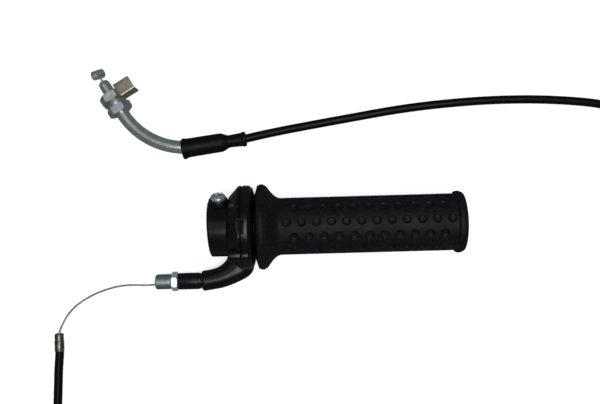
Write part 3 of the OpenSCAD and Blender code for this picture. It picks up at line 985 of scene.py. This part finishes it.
    def cover_screws(self) -> bpy.types.Object:
        """Build the two screws that hold the cover, with their heads on the inboard side."""
        both = bmesh.new()
        for angle in self.ears:
            place = ear_place(angle, self.ear_circle_r)
            profile = rounded(
                [
                    (0, 14.5),
                    (1.1, 14.5),
                    (1.45, 14.0),
                    (1.45, 7.9, 0.1),
                    (2.7, 7.9, 0.1),
                    (2.7, 6.7, 0.6),
                    (2.0, 5.9, 0.5),
                    (0, 5.8),
                ],
                closed=False,
            )
            screw = to_piece(lathe(profile, 40, False), "screw", place)
            looking_in = place @ Matrix.Translation((0, 0, 5.8)) @ Matrix.Rotation(math.pi, 4, "X")
            carve_all(screw, cross_tool(looking_in, 1.5, 0.7, 1.2), Cut.REMOVE)
            both.from_mesh(screw.data)
            bpy.data.objects.remove(screw)
        bmesh.ops.scale(both, vec=(1 / MM,) * 3, verts=both.verts)
        piece = to_piece(both, "cover_screw_pair")
        return hand_over(piece, Body.HOUSING, self.finishes.screw, ["cover_screws"])

    def clamp_screw(self) -> bpy.types.Object:
        """Build the clamp's pan-head screw."""
        seat = self.clamp_seat_r + 0.02
        profile = rounded(
            [
                (0, 11.5),
                (1.9, 11.5),
                (2.45, 12.0),
                (2.45, seat, 0.2),
                (4.3, seat, 0.15),
                (4.3, seat + 1.3, 0.7),
                (3.2, seat + 2.6, 2.2),
                (0, seat + 2.85),
            ],
            closed=False,
            segments=8,
        )
        screw = to_piece(lathe(profile, 64, False), "clamp_pan_screw", self.clamp)
        quarter = Matrix.Rotation(math.radians(45), 4, "Z")
        looking_in = self.clamp @ Matrix.Translation((0, 0, seat + 2.8)) @ quarter
        carve_all(screw, cross_tool(looking_in, 2.4, 1.1, 1.9), Cut.REMOVE)
        return hand_over(screw, Body.HOUSING, self.finishes.screw, ["clamp_screw"])

    def build(self) -> None:
        """Build and dress the whole housing."""
        self.casing()
        self.cover()
        self.cover_screws()
        self.clamp_screw()


# ---------------------------------------------------------------------------------------------
# Cable adjuster
# ---------------------------------------------------------------------------------------------


@dataclass
class Adjuster:
    """The bush in the horn's end, the hollow adjusting screw and its locknut."""

    finishes: FinishShelf
    bush_start_x: float = -27.1
    bush_end_x: float = -13.82
    nut_t: float = 3.6
    head_l: float = 9.4
    head_r: float = 4.4
    knurls: int = 44

    @property
    def axis(self) -> Matrix:
        """The adjuster's axis, heading inboard to outboard."""
        return axis_place((0, -31.0, -16.0), ALONG_BAR)

    def bush(self) -> bpy.types.Object:
        """Build the black bush, with a shallow groove near the horn."""
        x0, x1 = self.bush_start_x, self.bush_end_x
        profile = rounded(
            [
                (3.05, x0, 0.2),
                (4.85, x0, 0.7),
                (4.85, x1 - 1.3, 0.2),
                (4.6, x1 - 0.9, 0.2),
                (4.6, x1, 0.1),
                (3.95, x1),
                (3.95, -6.2, 0.3),
                (1.2, -6.2, 0.2),
                (1.2, x1 - 1.0),
                (3.05, x1 - 1.0),
            ]
        )
        piece = to_piece(lathe(profile, 80), "bush_sleeve", self.axis)
        return hand_over(piece, Body.HOUSING, self.finishes.bush, ["adjuster_bush"])

    def locknut(self) -> bpy.types.Object:
        """Build the bright locknut."""
        place = self.axis @ Matrix.Translation((0, 0, self.bush_start_x - self.nut_t - 0.05))
        piece = to_piece(six_sided(10.0, 6.0, self.nut_t, flat_first=True), "adjuster_hex_locknut", place)
        return hand_over(
            piece, Body.ADJUSTER_SLIDER, self.finishes.bright_nut, ["adjuster_locknut"]
        )

    def screw(self) -> bpy.types.Object:
        """Build the hollow screw: a knurled head with a socket, and a shank with rings for its thread."""
        start = self.bush_start_x - self.nut_t - 0.1 - self.head_l
        end = start + self.head_l
        rows = 14
        knurled = [(self.head_r, start + 1.0 + (self.head_l - 2.0) * k / rows) for k in range(rows + 1)]
        shank = []
        pitch, top, root, last = 1.0, 2.95, 2.5, -16.8
        ridge = end + 1.0
        while ridge + pitch < last - 0.5:
            shank += [(root, ridge), (top, ridge + 0.4 * pitch), (top, ridge + 0.6 * pitch)]
            ridge += pitch
        profile = [(2.85, start), (self.head_r - 0.7, start), (self.head_r - 0.1, start + 0.55)]
        profile += knurled
        profile += [(self.head_r - 0.1, end - 0.55), (self.head_r - 0.7, end), (root, end)]
        profile += shank
        profile += [(root, last), (1.6, last), (1.6, start + 7.5), (2.85, start + 7.5)]
        bm = lathe(profile, self.knurls * 2)
        heights = {round(height, 4): k for k, (_, height) in enumerate(knurled)}
        for vert in bm.verts:
            row = heights.get(round(vert.co.z, 4))
            if row is not None and vert.co.xy.length > self.head_r - 0.05:
                column = round(math.atan2(vert.co.y, vert.co.x) / math.tau * self.knurls * 2)
                vert.co.xy *= 1 - (0.045 if (row + column) % 2 else 0.0)
        piece = to_piece(bm, "adjuster_knurled_screw", self.axis)
        return hand_over(
            piece, Body.ADJUSTER_SCREW, self.finishes.knurl, ["cable_adjuster"], 22
        )

    def build(self) -> None:
        """Build and dress the adjuster."""
        self.bush()
        self.locknut()
        self.screw()


# ---------------------------------------------------------------------------------------------
# Twist grip
# ---------------------------------------------------------------------------------------------


@dataclass
class TwistGrip:
    """The rubber grip with its dimples, flange and bead."""

    finishes: FinishShelf
    grip_r: float = 16.0
    rows: int = 12
    columns: int = 12
    first_x: float = 37.3
    pitch: float = 8.19
    row_lean: float = 9.7
    dimple_r: float = 2.62
    dimple_depth: float = 1.05
    body_start: float = 34.2
    body_end: float = 130.4

    def cell(self, half_x: float, half_y: float) -> bmesh.types.BMesh:
        """One flat cell of the pattern with its dimple, centred on the origin.

        Args:
            half_x: Half the cell's length.
            half_y: Half the cell's width.

        Returns:
            The cell, with its surface at Z = 0.
        """
        bm = bmesh.new()
        spokes = bm.verts.layers.int.new("spoke")
        bmesh.ops.create_circle(bm, cap_ends=False, segments=16, radius=self.dimple_r + 0.35)
        bm.verts.ensure_lookup_table()
        for vert in bm.verts:
            vert[spokes] = round(math.atan2(vert.co.y, vert.co.x) / math.tau * 16) % 16
        rim = list(bm.edges)
        outer = self.grow(bm, rim)
        for vert in outer[0]:
            k = vert[spokes]
            vert.co = Vector((half_x * self.step(k), half_y * self.step(k - 4), 0))
        edges = rim
        # radius and height of each ring, from the rim down to the dimple's floor
        for radius, height in (
            (self.dimple_r, -0.02),
            (self.dimple_r - 0.16, -0.16),
            (self.dimple_r - 0.4, -0.5),
            (self.dimple_r * 0.66, -0.86 * self.dimple_depth),
            (self.dimple_r * 0.34, -self.dimple_depth),
        ):
            verts, edges = self.grow(bm, edges)
            for vert in verts:
                turn = math.tau * vert[spokes] / 16
                vert.co = Vector((radius * math.cos(turn), radius * math.sin(turn), height))
        bmesh.ops.contextual_create(bm, geom=edges)
        centre = [f for f in bm.faces if len(f.verts) > 4]
        bmesh.ops.poke(bm, faces=centre)
        return bm

    @staticmethod
    def grow(bm: bmesh.types.BMesh, edges: list) -> tuple[list, list]:
        """Extrude a ring of edges in place and return the new ring's points and edges."""
        made = bmesh.ops.extrude_edge_only(bm, edges=edges)["geom"]
        verts = [g for g in made if isinstance(g, bmesh.types.BMVert)]
        fresh = set(verts)
        ring = [g for g in made if isinstance(g, bmesh.types.BMEdge) and fresh.issuperset(g.verts)]
        return verts, ring

    @staticmethod
    def step(k: int) -> float:
        """How far along a cell's side the k-th of its 16 border points is, from -1 to 1."""
        return max(-1.0, min(1.0, 2 - abs((k + 8) % 16 - 8) / 2))

    def pattern(self) -> bmesh.types.BMesh:
        """The flat pattern of the whole grip: X along the bar, Y round it."""
        sheet = bmesh.new()
        half_x, half_y = self.pitch / 2, self.grip_r * math.pi / self.rows
        cell = bpy.data.meshes.new("cell")
        one = self.cell(half_x, half_y)
        one.to_mesh(cell)
        one.free()
        filler = bpy.data.meshes.new("filler")
        plain = bmesh.new()
        bmesh.ops.create_grid(plain, x_segments=2, y_segments=4, size=1.0)
        bmesh.ops.scale(plain, vec=(half_x / 2, half_y, 1), verts=plain.verts)
        plain.to_mesh(filler)
        plain.free()
        for row in range(self.rows):
            shifted = row % 2
            y = 2 * half_y * row
            for column in range(self.columns - shifted):
                x = self.first_x + (column + shifted / 2) * self.pitch
                self.lay(sheet, cell, x, y)
            if shifted:
                last_x = self.first_x + (self.columns - 1) * self.pitch
                for x in (self.first_x - half_x / 2, last_x + half_x / 2):
                    self.lay(sheet, filler, x, y)
        bpy.data.meshes.remove(cell)
        bpy.data.meshes.remove(filler)
        return sheet

    @staticmethod
    def lay(sheet: bmesh.types.BMesh, tile: bpy.types.Mesh, x: float, y: float) -> None:
        """Add a tile to the pattern at a place."""
        before = len(sheet.verts)
        sheet.from_mesh(tile)
        sheet.verts.ensure_lookup_table()
        bmesh.ops.translate(sheet, vec=(x, y, 0), verts=sheet.verts[before:])

    def body(self) -> bmesh.types.BMesh:
        """The dimpled part of the grip, rolled round the bar's axis."""
        bm = self.pattern()
        for vert in bm.verts:
            x = min(max(vert.co.x, self.body_start), self.body_end)
            turn = vert.co.y / self.grip_r
            radius = self.grip_r + vert.co.z
            vert.co = Vector((radius * math.cos(turn), radius * math.sin(turn), x))
        bmesh.ops.remove_doubles(bm, verts=bm.verts, dist=0.02)
        return bm

    def ends(self) -> list[tuple[float, float]]:
        """The outline of everything but the dimpled part, from its outer end round to its inner end."""
        bead = rounded(
            [
                (self.grip_r, self.body_end),
                (self.grip_r + 0.05, 130.9, 0.3),
                (17.3, 131.6, 0.5),
                (17.5, 133.6, 1.6),
                (16.6, 136.0, 1.1),
                (13.0, 136.0, 0.3),
                (12.2, 135.7, 0.3),
                (0, 135.7),
            ],
            closed=False,
            segments=3,
        )
        bore = 13.1
        inside = [(0, 133.1), (12.9, 133.1), *((bore, x) for x in (132.9, 100.0, 60.0, 20.0)), (13.3, 19.8)]
        flange = rounded(
            [
                (13.3, 19.8),
                (18.3, 19.8, 0.3),
                (23.4, 21.4, 0.5),
                (24.0, 22.9, 0.7),
                (24.0, 24.4, 0.8),
                (22.9, 26.2, 0.5),
                (22.6, 26.6),
            ],
            closed=False,
            segments=3,
        )
        cone = []
        for k in range(1, 9):
            t = k / 8
            cone.append((self.grip_r + 6.6 * (1 - t) ** 1.9, 26.6 + (self.body_start - 26.6) * t))
        return bead, inside + flange[1:] + cone

    def build(self) -> None:
        """Build and dress the grip."""
        bm = self.body()
        for outline in self.ends():
            turned = lathe(outline, self.rows * 4, False)
            mesh = bpy.data.meshes.new("turned")
            turned.to_mesh(mesh)
            turned.free()
            bm.from_mesh(mesh)
            bpy.data.meshes.remove(mesh)
        bmesh.ops.remove_doubles(bm, verts=bm.verts, dist=0.02)
        # the main row leans back from straight up by row_lean
        turn = Matrix.Rotation(math.radians(-self.row_lean), 4, "Z")
        piece = to_piece(bm, "dimpled_grip", BAR @ turn, 180)
        finer = piece.modifiers.new("finer", "SUBSURF")
        finer.levels = finer.render_levels = 1
        settle(piece)
        hand_over(piece, Body.GRIP, self.finishes.grip, ["grip_rubber"], 50)


# ---------------------------------------------------------------------------------------------
# Cable
# ---------------------------------------------------------------------------------------------


@dataclass
class PullCable:
    """The inner wire, the outer cable, and the ferrule on it."""

    finishes: FinishShelf
    wire_r: float = 0.6
    sheath_r: float = 2.5
    drum_r: float = 16.0
    drum_x: float = 11.1
    lay_mm: float = 7.0
    ferrule_at: tuple[float, float, float] = (-99.5, -60.5, -21.25)
    ferrule_l: float = 10.4
    bare_route: tuple[tuple[float, float, float], ...] = (
        (-33, -31, -16), (-36.5, -31.4, -16.1), (-40.5, -32.5, -16.4), (-46, -32.9, -16.9),
        (-52, -32.7, -17.4), (-58, -32.7, -17.9), (-64, -33.5, -18.5), (-70, -35, -19),
        (-76, -37.1, -19.5), (-82, -40, -20), (-87, -43.1, -20.4), (-91.5, -46.9, -20.8),
        (-95, -51.2, -21.1), (-97.6, -55.8, -21.2), (-99, -59, -21.2), (-99.5, -61.5, -21.2),
    )
    flat_z: float = -21.5
    pipe_z: float = -17.5

    @property
    def cable_route(self) -> list[tuple[float, float, float]]:
        """The outer cable's route from its ferrule round the front and the outer side to the boot."""
        flat = (
            (-100.4, -82), (-101.5, -102), (-102.5, -118), (-100, -134), (-90, -148), (-74, -156),
            (-50, -159), (-10, -160), (40, -160), (90, -160), (140, -160), (190, -160), (226, -158),
            (251, -148), (268, -129), (275, -104), (277, -70), (277, -35), (276, -5), (271, 24),
            (260, 46), (244, 60), (224, 66.5), (195, 69.8), (165, 70.6), (135, 69.4), (106, 66.7),
            (76, 62.3),
        )
        start = [(-99.5, -63, -21.25), (-99.5, -72, -21.3)]
        rise = [(46, 57.6, -21.3), (32, 55.1, -20), (22, 53.1, -18.6), (14.6, 51.5, -17.7)]
        end = [(8, 50.5, self.pipe_z), (1, 49.6, self.pipe_z), (-4, 49, self.pipe_z)]
        return start + [(x, y, self.flat_z) for x, y in flat] + rise + end

    def strand(self, spine: Sequence[Vector], name: str) -> bpy.types.Object:
        """Lay six strands round a line as one stranded wire.

        Args:
            spine: The wire's centreline.
            name: The piece's name.

        Returns:
            The piece.
        """
        rings, run = [], 0.0
        for i, place in enumerate(spine_places(spine)):
            run += (spine[i] - spine[i - 1]).length if i else 0.0
            twist = math.tau * run / self.lay_mm
            rings.append(Ring(place, self.wire_r, self.wire_r, lobes=6, lobe_depth=0.34, twist=twist))
        return to_piece(loft(rings, 36), name, sharp=180)

    def bare_wire(self) -> tuple[bpy.types.Object, list[Vector]]:
        """Build the free wire between the adjuster and the ferrule."""
        spine = route_points(self.bare_route, 180)
        piece = self.strand(spine, "free_wire")
        hand_over(piece, Body.HOUSING, self.finishes.wire, ["bare_wire"], 180)
        return piece, spine

    def drum_wire(self) -> None:
        """Build the wire inside the housing: the arc on the drum and the rest."""
        arc_end = math.radians(35 - math.degrees(math.asin(2.5 / self.drum_r)) - 1.8)
        steps = 16
        arc = []
        for k in range(steps + 1):
            turn = arc_end * k / steps
            arc.append(Vector((self.drum_x, self.drum_r * math.sin(turn), -self.drum_r * math.cos(turn))))
        wound = self.strand(arc, "wire_on_drum")
        wound.data.materials.append(self.finishes.wire)
        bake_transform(wound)
        centre = Vector((-2.9, -17.0, -self.drum_r))
        line = [Vector((self.drum_x, -17.0 * k / 24, -self.drum_r)) for k in range(24)]
        for k in range(33):
            turn = -math.pi / 2 * k / 32
            line.append(centre + 14 * Vector((math.cos(turn), math.sin(turn), 0)))
        reach = self.bare_route[0][0] + 2.9
        line += [Vector((-2.9 + reach * k / 40, -31.0, -self.drum_r)) for k in range(1, 41)]
        led = self.strand(line, "wire_in_horn")
        hand_over(led, Body.HOUSING, self.finishes.wire, ["drum_wire"], 180)

    def outer(self) -> bpy.types.Object:
        """Build the outer cable as a curve along its route."""
        points = route_points(self.cable_route, 420)
        curve = bpy.data.curves.new("outer_sheath", "CURVE")
        curve.dimensions = "3D"
        curve.bevel_depth = self.sheath_r * MM
        curve.bevel_resolution = 8
        curve.use_fill_caps = True
        spline = curve.splines.new("POLY")
        spline.points.add(len(points) - 1)
        for target, point in zip(spline.points, points):
            target.co = (*(point * MM), 1)
        spline.use_smooth = True
        piece = bpy.data.objects.new("outer_sheath", curve)
        bpy.context.scene.collection.objects.link(piece)
        return hand_over(piece, Body.HOUSING, self.finishes.sheath, ["outer_cable"])

    def near_ferrule(self) -> bpy.types.Object:
        """Build the crimped sleeve on the cable's free end, its mouth heading along -Y."""
        length = self.ferrule_l
        profile = rounded(
            [
                (0.9, 0, 0.15),
                (2.35, 0, 0.5),
                (2.62, 0.8, 0.3),
                (2.62, 2.6, 0.4),
                (2.42, 3.0, 0.3),
                (2.42, 3.6, 0.3),
                (2.75, 4.2, 0.4),
                (2.75, length - 0.4, 0.3),
                (2.66, length, 0.06),
                (2.53, length, 0.06),
                (2.53, 1.8),
                (0.9, 1.8),
            ]
        )
        bm = lathe(profile, 64)
        for vert in bm.verts:
            # four crimp flats behind the nose
            turn = math.atan2(vert.co.y, vert.co.x)
            middle = 1 - abs(vert.co.z - 6.6) / 1.9
            if middle > 0 and vert.co.xy.length > 2.6:
                vert.co.xy *= 1 - 0.06 * min(1.0, middle * 2) * max(0.0, math.cos(4 * turn)) ** 2
        piece = to_piece(bm, "crimped_ferrule", axis_place(self.ferrule_at, Vector((0, -1, 0))))
        return hand_over(piece, Body.HOUSING, self.finishes.bronze, ["near_ferrule"])

    def build(self, elbow: "Elbow") -> None:
        """Args:
            elbow: The carburettor end, which is on the cable. Not used.
        """
        wire, spine = self.bare_wire()
        self.drum_wire()
        sheath = self.outer()
        ferrule = self.near_ferrule()


@dataclass
class Elbow:
    """The carburettor end: bent pipe, nuts, washers, stop tab, boot and nipple."""

    finishes: FinishShelf
    at: tuple[float, float, float] = (-63.2, 77.8, -17.5)
    heading: float = -59.3
    boot_heading: float = 7.0
    bend_start: float = 11.0
    bend_r: float = 43.0
    pipe_r: float = 3.8
    tail: float = 8.0
    nut_t: float = 5.0
    boot_lead: float = 7.6
    boot_l: float = 37.8
    nipple_a: float = -15.7
    nipple_l: float = 6.8
    nipple_lean: float = -42.0
    pieces: list[bpy.types.Object] = field(default_factory=list)

    @property
    def along(self) -> Vector:
        """The heading of the pipe's straight end, from the tip to the bend."""
        turn = math.radians(self.heading)
        return Vector((math.cos(turn), math.sin(turn), 0))

    @property
    def bend_centre(self) -> Vector:
        """The centre of the pipe's bend."""
        start = Vector(self.at) + self.along * self.bend_start
        return start + self.bend_r * UP.cross(self.along)

    @property
    def tail_place(self) -> Matrix:
        """The place where the bend ends and the tail starts, heading into the boot."""
        turn = math.radians(self.boot_heading)
        heading = Vector((math.cos(turn), math.sin(turn), 0))
        return axis_place(self.bend_centre - self.bend_r * UP.cross(heading), heading)

    def on_pipe(self, a: float) -> Matrix:
        """A place on the straight end, a millimetres on from the upper nut's centre."""
        return axis_place(Vector(self.at) + self.along * a, self.along)

    def pipe(self) -> bpy.types.Object:
        """Build the pipe: hollow tip, shank, bend and tail."""
        # place along the pipe and radius: up the bore, round the tip and along the shank
        outline = [
            (-3.5, 1.5),
            (-8.6, 1.5),
            (-10.3, 1.55),
            (-10.58, 1.75),
            (-10.6, 2.05),
            (-10.42, 2.45),
            (-9.9, 2.85),
            (-9.2, 3.12),
            (-8.4, 3.27),
            (-7.4, 3.3),
            (-2.7, 3.3),
            (-2.6, 3.45),
            (-2.4, 3.75),
            (-2.2, self.pipe_r),
            (self.bend_start, self.pipe_r),
        ]
        rings = [Ring(self.on_pipe(a), radius, radius) for a, radius in outline]
        swing = math.radians(self.boot_heading - self.heading)
        for k in range(1, 49):
            turn = math.radians(self.heading) + swing * k / 48
            heading = Vector((math.cos(turn), math.sin(turn), 0))
            centre = self.bend_centre - self.bend_r * UP.cross(heading)
            rings.append(Ring(axis_place(centre, heading), self.pipe_r, self.pipe_r))
        rings.append(Ring(self.tail_place @ Matrix.Translation((0, 0, self.tail)), self.pipe_r, self.pipe_r))
        piece = to_piece(loft(rings, 56), "bent_pipe")
        return hand_over(piece, Body.HOUSING, self.finishes.pipe, ["elbow_pipe"])

    def nuts(self) -> bpy.types.Object:
        """Build the two nuts on the pipe."""
        both = bmesh.new()
        for a in (-self.nut_t / 2, 5.78):
            nut = to_piece(six_sided(13.0, 7.7, self.nut_t), "nut", self.on_pipe(a))
            both.from_mesh(nut.data)
            bpy.data.objects.remove(nut)
        bmesh.ops.scale(both, vec=(1 / MM,) * 3, verts=both.verts)
        piece = to_piece(both, "pipe_nut_pair")
        return hand_over(piece, Body.HOUSING, self.finishes.zinc, ["pipe_nuts"])

    def washers(self) -> list[bpy.types.Object]:
        """Build the flat washer and the split spring washer."""
        flat = lathe(rounded([(3.85, 0, 0.1), (6.45, 0, 0.25), (6.45, 0.8, 0.25), (3.85, 0.8, 0.1)]), 72)
        flat_piece = to_piece(flat, "pipe_flat_washer", self.on_pipe(3.74))
        hand_over(flat_piece, Body.HOUSING, self.finishes.zinc, ["flat_washer"])
        rings = []
        for k in range(73):
            turn = math.radians(-155 + 352 * k / 72)
            out = Vector((math.cos(turn), math.sin(turn), 0))
            rise = 5.16 + 0.18 * (k / 72 - 0.5)
            centre = self.on_pipe(rise) @ (out * 5.03)
            place = axis_place(centre, self.on_pipe(0).to_3x3() @ UP.cross(out), self.along)
            rings.append(Ring(place, 0.52, 1.15, power=6.0))
        split = to_piece(loft(rings, 24), "pipe_spring_washer", sharp=30)
        hand_over(split, Body.HOUSING, self.finishes.screw, ["spring_washer"])
        return [flat_piece, split]

    def tab(self) -> bpy.types.Object:
        """Build the stop tab: a plate on the pipe with a lug folded back towards the tip."""
        thick = 1.2
        # the plate hangs on the far side of the bend, with its lug on top
        place = self.on_pipe(2.52) @ Matrix.Rotation(math.pi, 4, "Z")
        fold = rounded(
            [
                (5.2, thick),
                (-4.4, thick, 1.5),
                (-4.4, -7.4, 0.15),
                (-3.2, -7.4, 0.15),
                (-3.2, 0, 0.3),
                (5.2, 0),
            ],
            segments=6,
        )
        strip = bmesh.new()
        face = strip.faces.new([strip.verts.new((x, 4.6, z)) for x, z in fold])
        made = bmesh.ops.extrude_face_region(strip, geom=[face])["geom"]
        moved = [g for g in made if isinstance(g, bmesh.types.BMVert)]
        bmesh.ops.translate(strip, vec=(0, 10.0, 0), verts=moved)
        piece = to_piece(strip, "folded_tab", place)
        plate = bmesh.new()
        bmesh.ops.create_cone(
            plate,
            cap_ends=True,
            segments=72,
            radius1=7.0,
            radius2=7.0,
            depth=thick,
            matrix=Matrix.Translation((0, 0, thick / 2)),
        )
        bmesh.ops.transform(plate, matrix=place, verts=plate.verts)
        bridge = block(place, (-2.6, 0.0, 0.0), (5.2, 5.2, thick))
        carve_all(piece, [plate, bridge], Cut.JOIN)
        carve_all(piece, [rod(place, 3.85, -1, thick + 1, 56)], Cut.REMOVE)
        ease = piece.modifiers.new("ease", "BEVEL")
        ease.width = 0.22 * MM
        ease.segments = 2
        ease.limit_method = "ANGLE"
        ease.angle_limit = math.radians(50)
        settle(piece)
        return hand_over(piece, Body.HOUSING, self.finishes.yellow, ["stop_tab"])

    def boot(self) -> bpy.types.Object:
        """Build the rubber boot: flared mouth, body, taper and bead."""
        end = self.boot_l
        profile = rounded(
            [
                (4.9, 0.0, 0.2),
                (5.8, 0.0, 0.35),
                (6.15, 0.7, 0.4),
                (6.1, 1.6, 0.6),
                (5.6, 3.2, 1.5),
                (5.5, 23.4, 3.4),
                (3.6, 27.6, 2.2),
                (4.0, end - 2.6, 0.6),
                (4.35, end - 1.9, 0.3),
                (4.35, end - 0.5, 0.4),
                (3.6, end, 0.4),
                (2.75, end, 0.2),
                (2.7, 24.0, 0.5),
                (3.35, 23.0, 0.4),
                (3.95, 15.5, 0.4),
                (4.1, 7.0, 0.5),
            ],
            segments=5,
        )
        place = self.tail_place @ Matrix.Translation((0, 0, -self.boot_lead))
        bm = lathe(profile, 72)
        for vert in bm.verts:
            # the mouth sags over the pipe, which is still bending there
            sag = max(0.0, 1 - vert.co.z / 9)
            vert.co.y += 0.55 * sag * sag
        piece = to_piece(bm, "rubber_boot", place, 50)
        return hand_over(piece, Body.HOUSING, self.finishes.boot, ["cable_boot"], 50)

    def nipple(self) -> None:
        """Build the barrel nipple and the last of the wire."""
        across = UP.cross(self.along)
        tilted = Matrix.Rotation(math.radians(self.nipple_lean), 3, self.along) @ across
        place = axis_place(Vector(self.at) + self.along * self.nipple_a, tilted)
        half = self.nipple_l / 2
        profile = rounded([(0, -half), (2.65, -half, 0.35), (2.65, half, 0.35), (0, half)], closed=False)
        barrel = to_piece(lathe(profile, 64, False), "barrel_nipple", place)
        carve_all(barrel, [rod(self.on_pipe(self.nipple_a), 0.75, -0.2, 4.0, 24)], Cut.REMOVE)
        dimple = lathe([(0, -half - 1), (1.9, -half - 1), (1.9, -half + 1.5), (0, -half + 1.8)], 48, False)
        bmesh.ops.transform(dimple, matrix=place, verts=dimple.verts)
        carve_all(barrel, [dimple], Cut.REMOVE)
        hand_over(barrel, Body.WIRE_END, self.finishes.cast_zinc, ["end_nipple"])
        start = Vector(self.at) + self.along * self.nipple_a
        cable = PullCable(self.finishes)
        line = [start + self.along * (25.7 * k / 60) for k in range(61)]
        wire = cable.strand(line, "wire_in_pipe")
        hand_over(wire, Body.WIRE_END, self.finishes.wire, ["end_wire"], 180)
        self.pieces += [barrel, wire]

    def build(self) -> None:
        """Build and dress the carburettor end."""
        self.pieces += [self.pipe(), self.nuts(), *self.washers(), self.tab(), self.boot()]
        self.nipple()


# ---------------------------------------------------------------------------------------------
# What stays as the frame has it, and the studio
# ---------------------------------------------------------------------------------------------


def dress_frame_nodes(nodes: dict[str, bpy.types.Object], finishes: FinishShelf) -> None:
    """Give the nodes that stay as they are their finishes.

    Args:
        nodes: The frame's nodes by name.
        finishes: The finishes.
    """
    kept = {
        "throttle_tube": (finishes.tube, "tube_plastic"),
        "drum_nipple": (finishes.brass, "nipple_brass"),
        "clamp_nut": (finishes.zinc, "plated_steel"),
        "far_ferrule": (finishes.zinc, "ferrule_steel"),
    }
    for name, (finish, slot) in kept.items():
        node = nodes[name]
        node.data.materials.clear()
        node.data.materials.append(finish)
        LOG.info("%s: kept, with the finish %s", name, finish.name)


@dataclass
class Studio:
    """A pale table, soft light from above and a camera that looks straight down."""

    camera_at: tuple[float, float, float] = (45.1, 13.4, 400.0)
    camera_turn: float = -1.575
    lens: float = 42.72
    table_glow: float = 0.62

    def table(self) -> None:
        """Lay the pale table."""
        bm = bmesh.new()
        bmesh.ops.create_grid(bm, x_segments=1, y_segments=1, size=3000.0)
        floor = to_piece(bm, "table", Matrix.Translation((80, -20, TABLE_Z - 0.02)))
        bench = NodeBench("pale_table")
        cloud = bench.ramp(bench.noise(60, 4), 0.0, 1.0)
        bench.set(
            Base_Color=bench.tint(cloud, (0.93, 0.93, 0.935), (0.9, 0.9, 0.905)),
            Roughness=bench.ramp(cloud, 0.6, 0.7),
            Specular_IOR_Level=0.1,
            Emission_Color=(0.97, 0.99, 1.0, 1),
            Emission_Strength=self.table_glow,
        )
        floor.data.materials.append(bench.material)
        floor.visible_glossy = False

    def camera(self) -> None:
        """Set up the camera."""
        data = bpy.data.cameras.new("camera")
        data.lens = self.lens
        data.sensor_width = 36.0
        data.clip_start, data.clip_end = 0.01, 10.0
        camera = bpy.data.objects.new("camera", data)
        camera.location = Vector(self.camera_at) * MM
        camera.rotation_euler = (0, 0, math.radians(self.camera_turn))
        bpy.context.scene.collection.objects.link(camera)
        bpy.context.scene.camera = camera

    def softbox(
        self,
        name: str,
        at: Sequence[float],
        size: Sequence[float],
        power: float,
        colour: Sequence[float],
    ) -> None:
        """Hang one softbox that looks at the throttle.

        Args:
            name: Its name.
            at: Where it hangs, in millimetres.
            size: Its width and height, in millimetres.
            power: Its power, in watts.
            colour: Its colour.
        """
        light = bpy.data.lights.new(name, "AREA")
        light.shape = "RECTANGLE"
        light.size, light.size_y = size[0] * MM, size[1] * MM
        light.energy = power
        light.color = colour
        lamp = bpy.data.objects.new(name, light)
        place = Vector(at)
        lamp.location = place * MM
        lamp.rotation_euler = (Vector((60, 0, 0)) - place).to_track_quat("-Z", "Y").to_euler()
        bpy.context.scene.collection.objects.link(lamp)

    def build(self) -> None:
        """Build the whole studio."""
        scene = bpy.context.scene
        scene.view_settings.view_transform = "Standard"
        world = bpy.data.worlds.new("studio")
        world.use_nodes = True
        world.node_tree.nodes["Background"].inputs["Color"].default_value = (0.86, 0.92, 1.0, 1)
        world.node_tree.nodes["Background"].inputs["Strength"].default_value = 0.1
        scene.world = world
        self.table()
        self.camera()
        self.softbox("key", (150, -40, 900), (760, 460), 6.2, (0.94, 0.98, 1.0))
        self.softbox("sky", (-480, 260, 900), (460, 460), 0.45, (0.92, 0.96, 1.0))


def main() -> None:
    """Build the throttle, piece by piece, and its studio."""
    logging.basicConfig(level=logging.INFO, format="%(name)s: %(message)s")
    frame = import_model()
    finishes = FinishShelf()
    Studio().build()
    elbow = Elbow(finishes)
    elbow.build()
    PullCable(finishes).build(elbow)
    Housing(finishes).build()
    Adjuster(finishes).build()
    TwistGrip(finishes).build()
    dress_frame_nodes(frame["nodes"], finishes)
    bpy.context.view_layer.update()


if __name__ == "__main__":
    main()
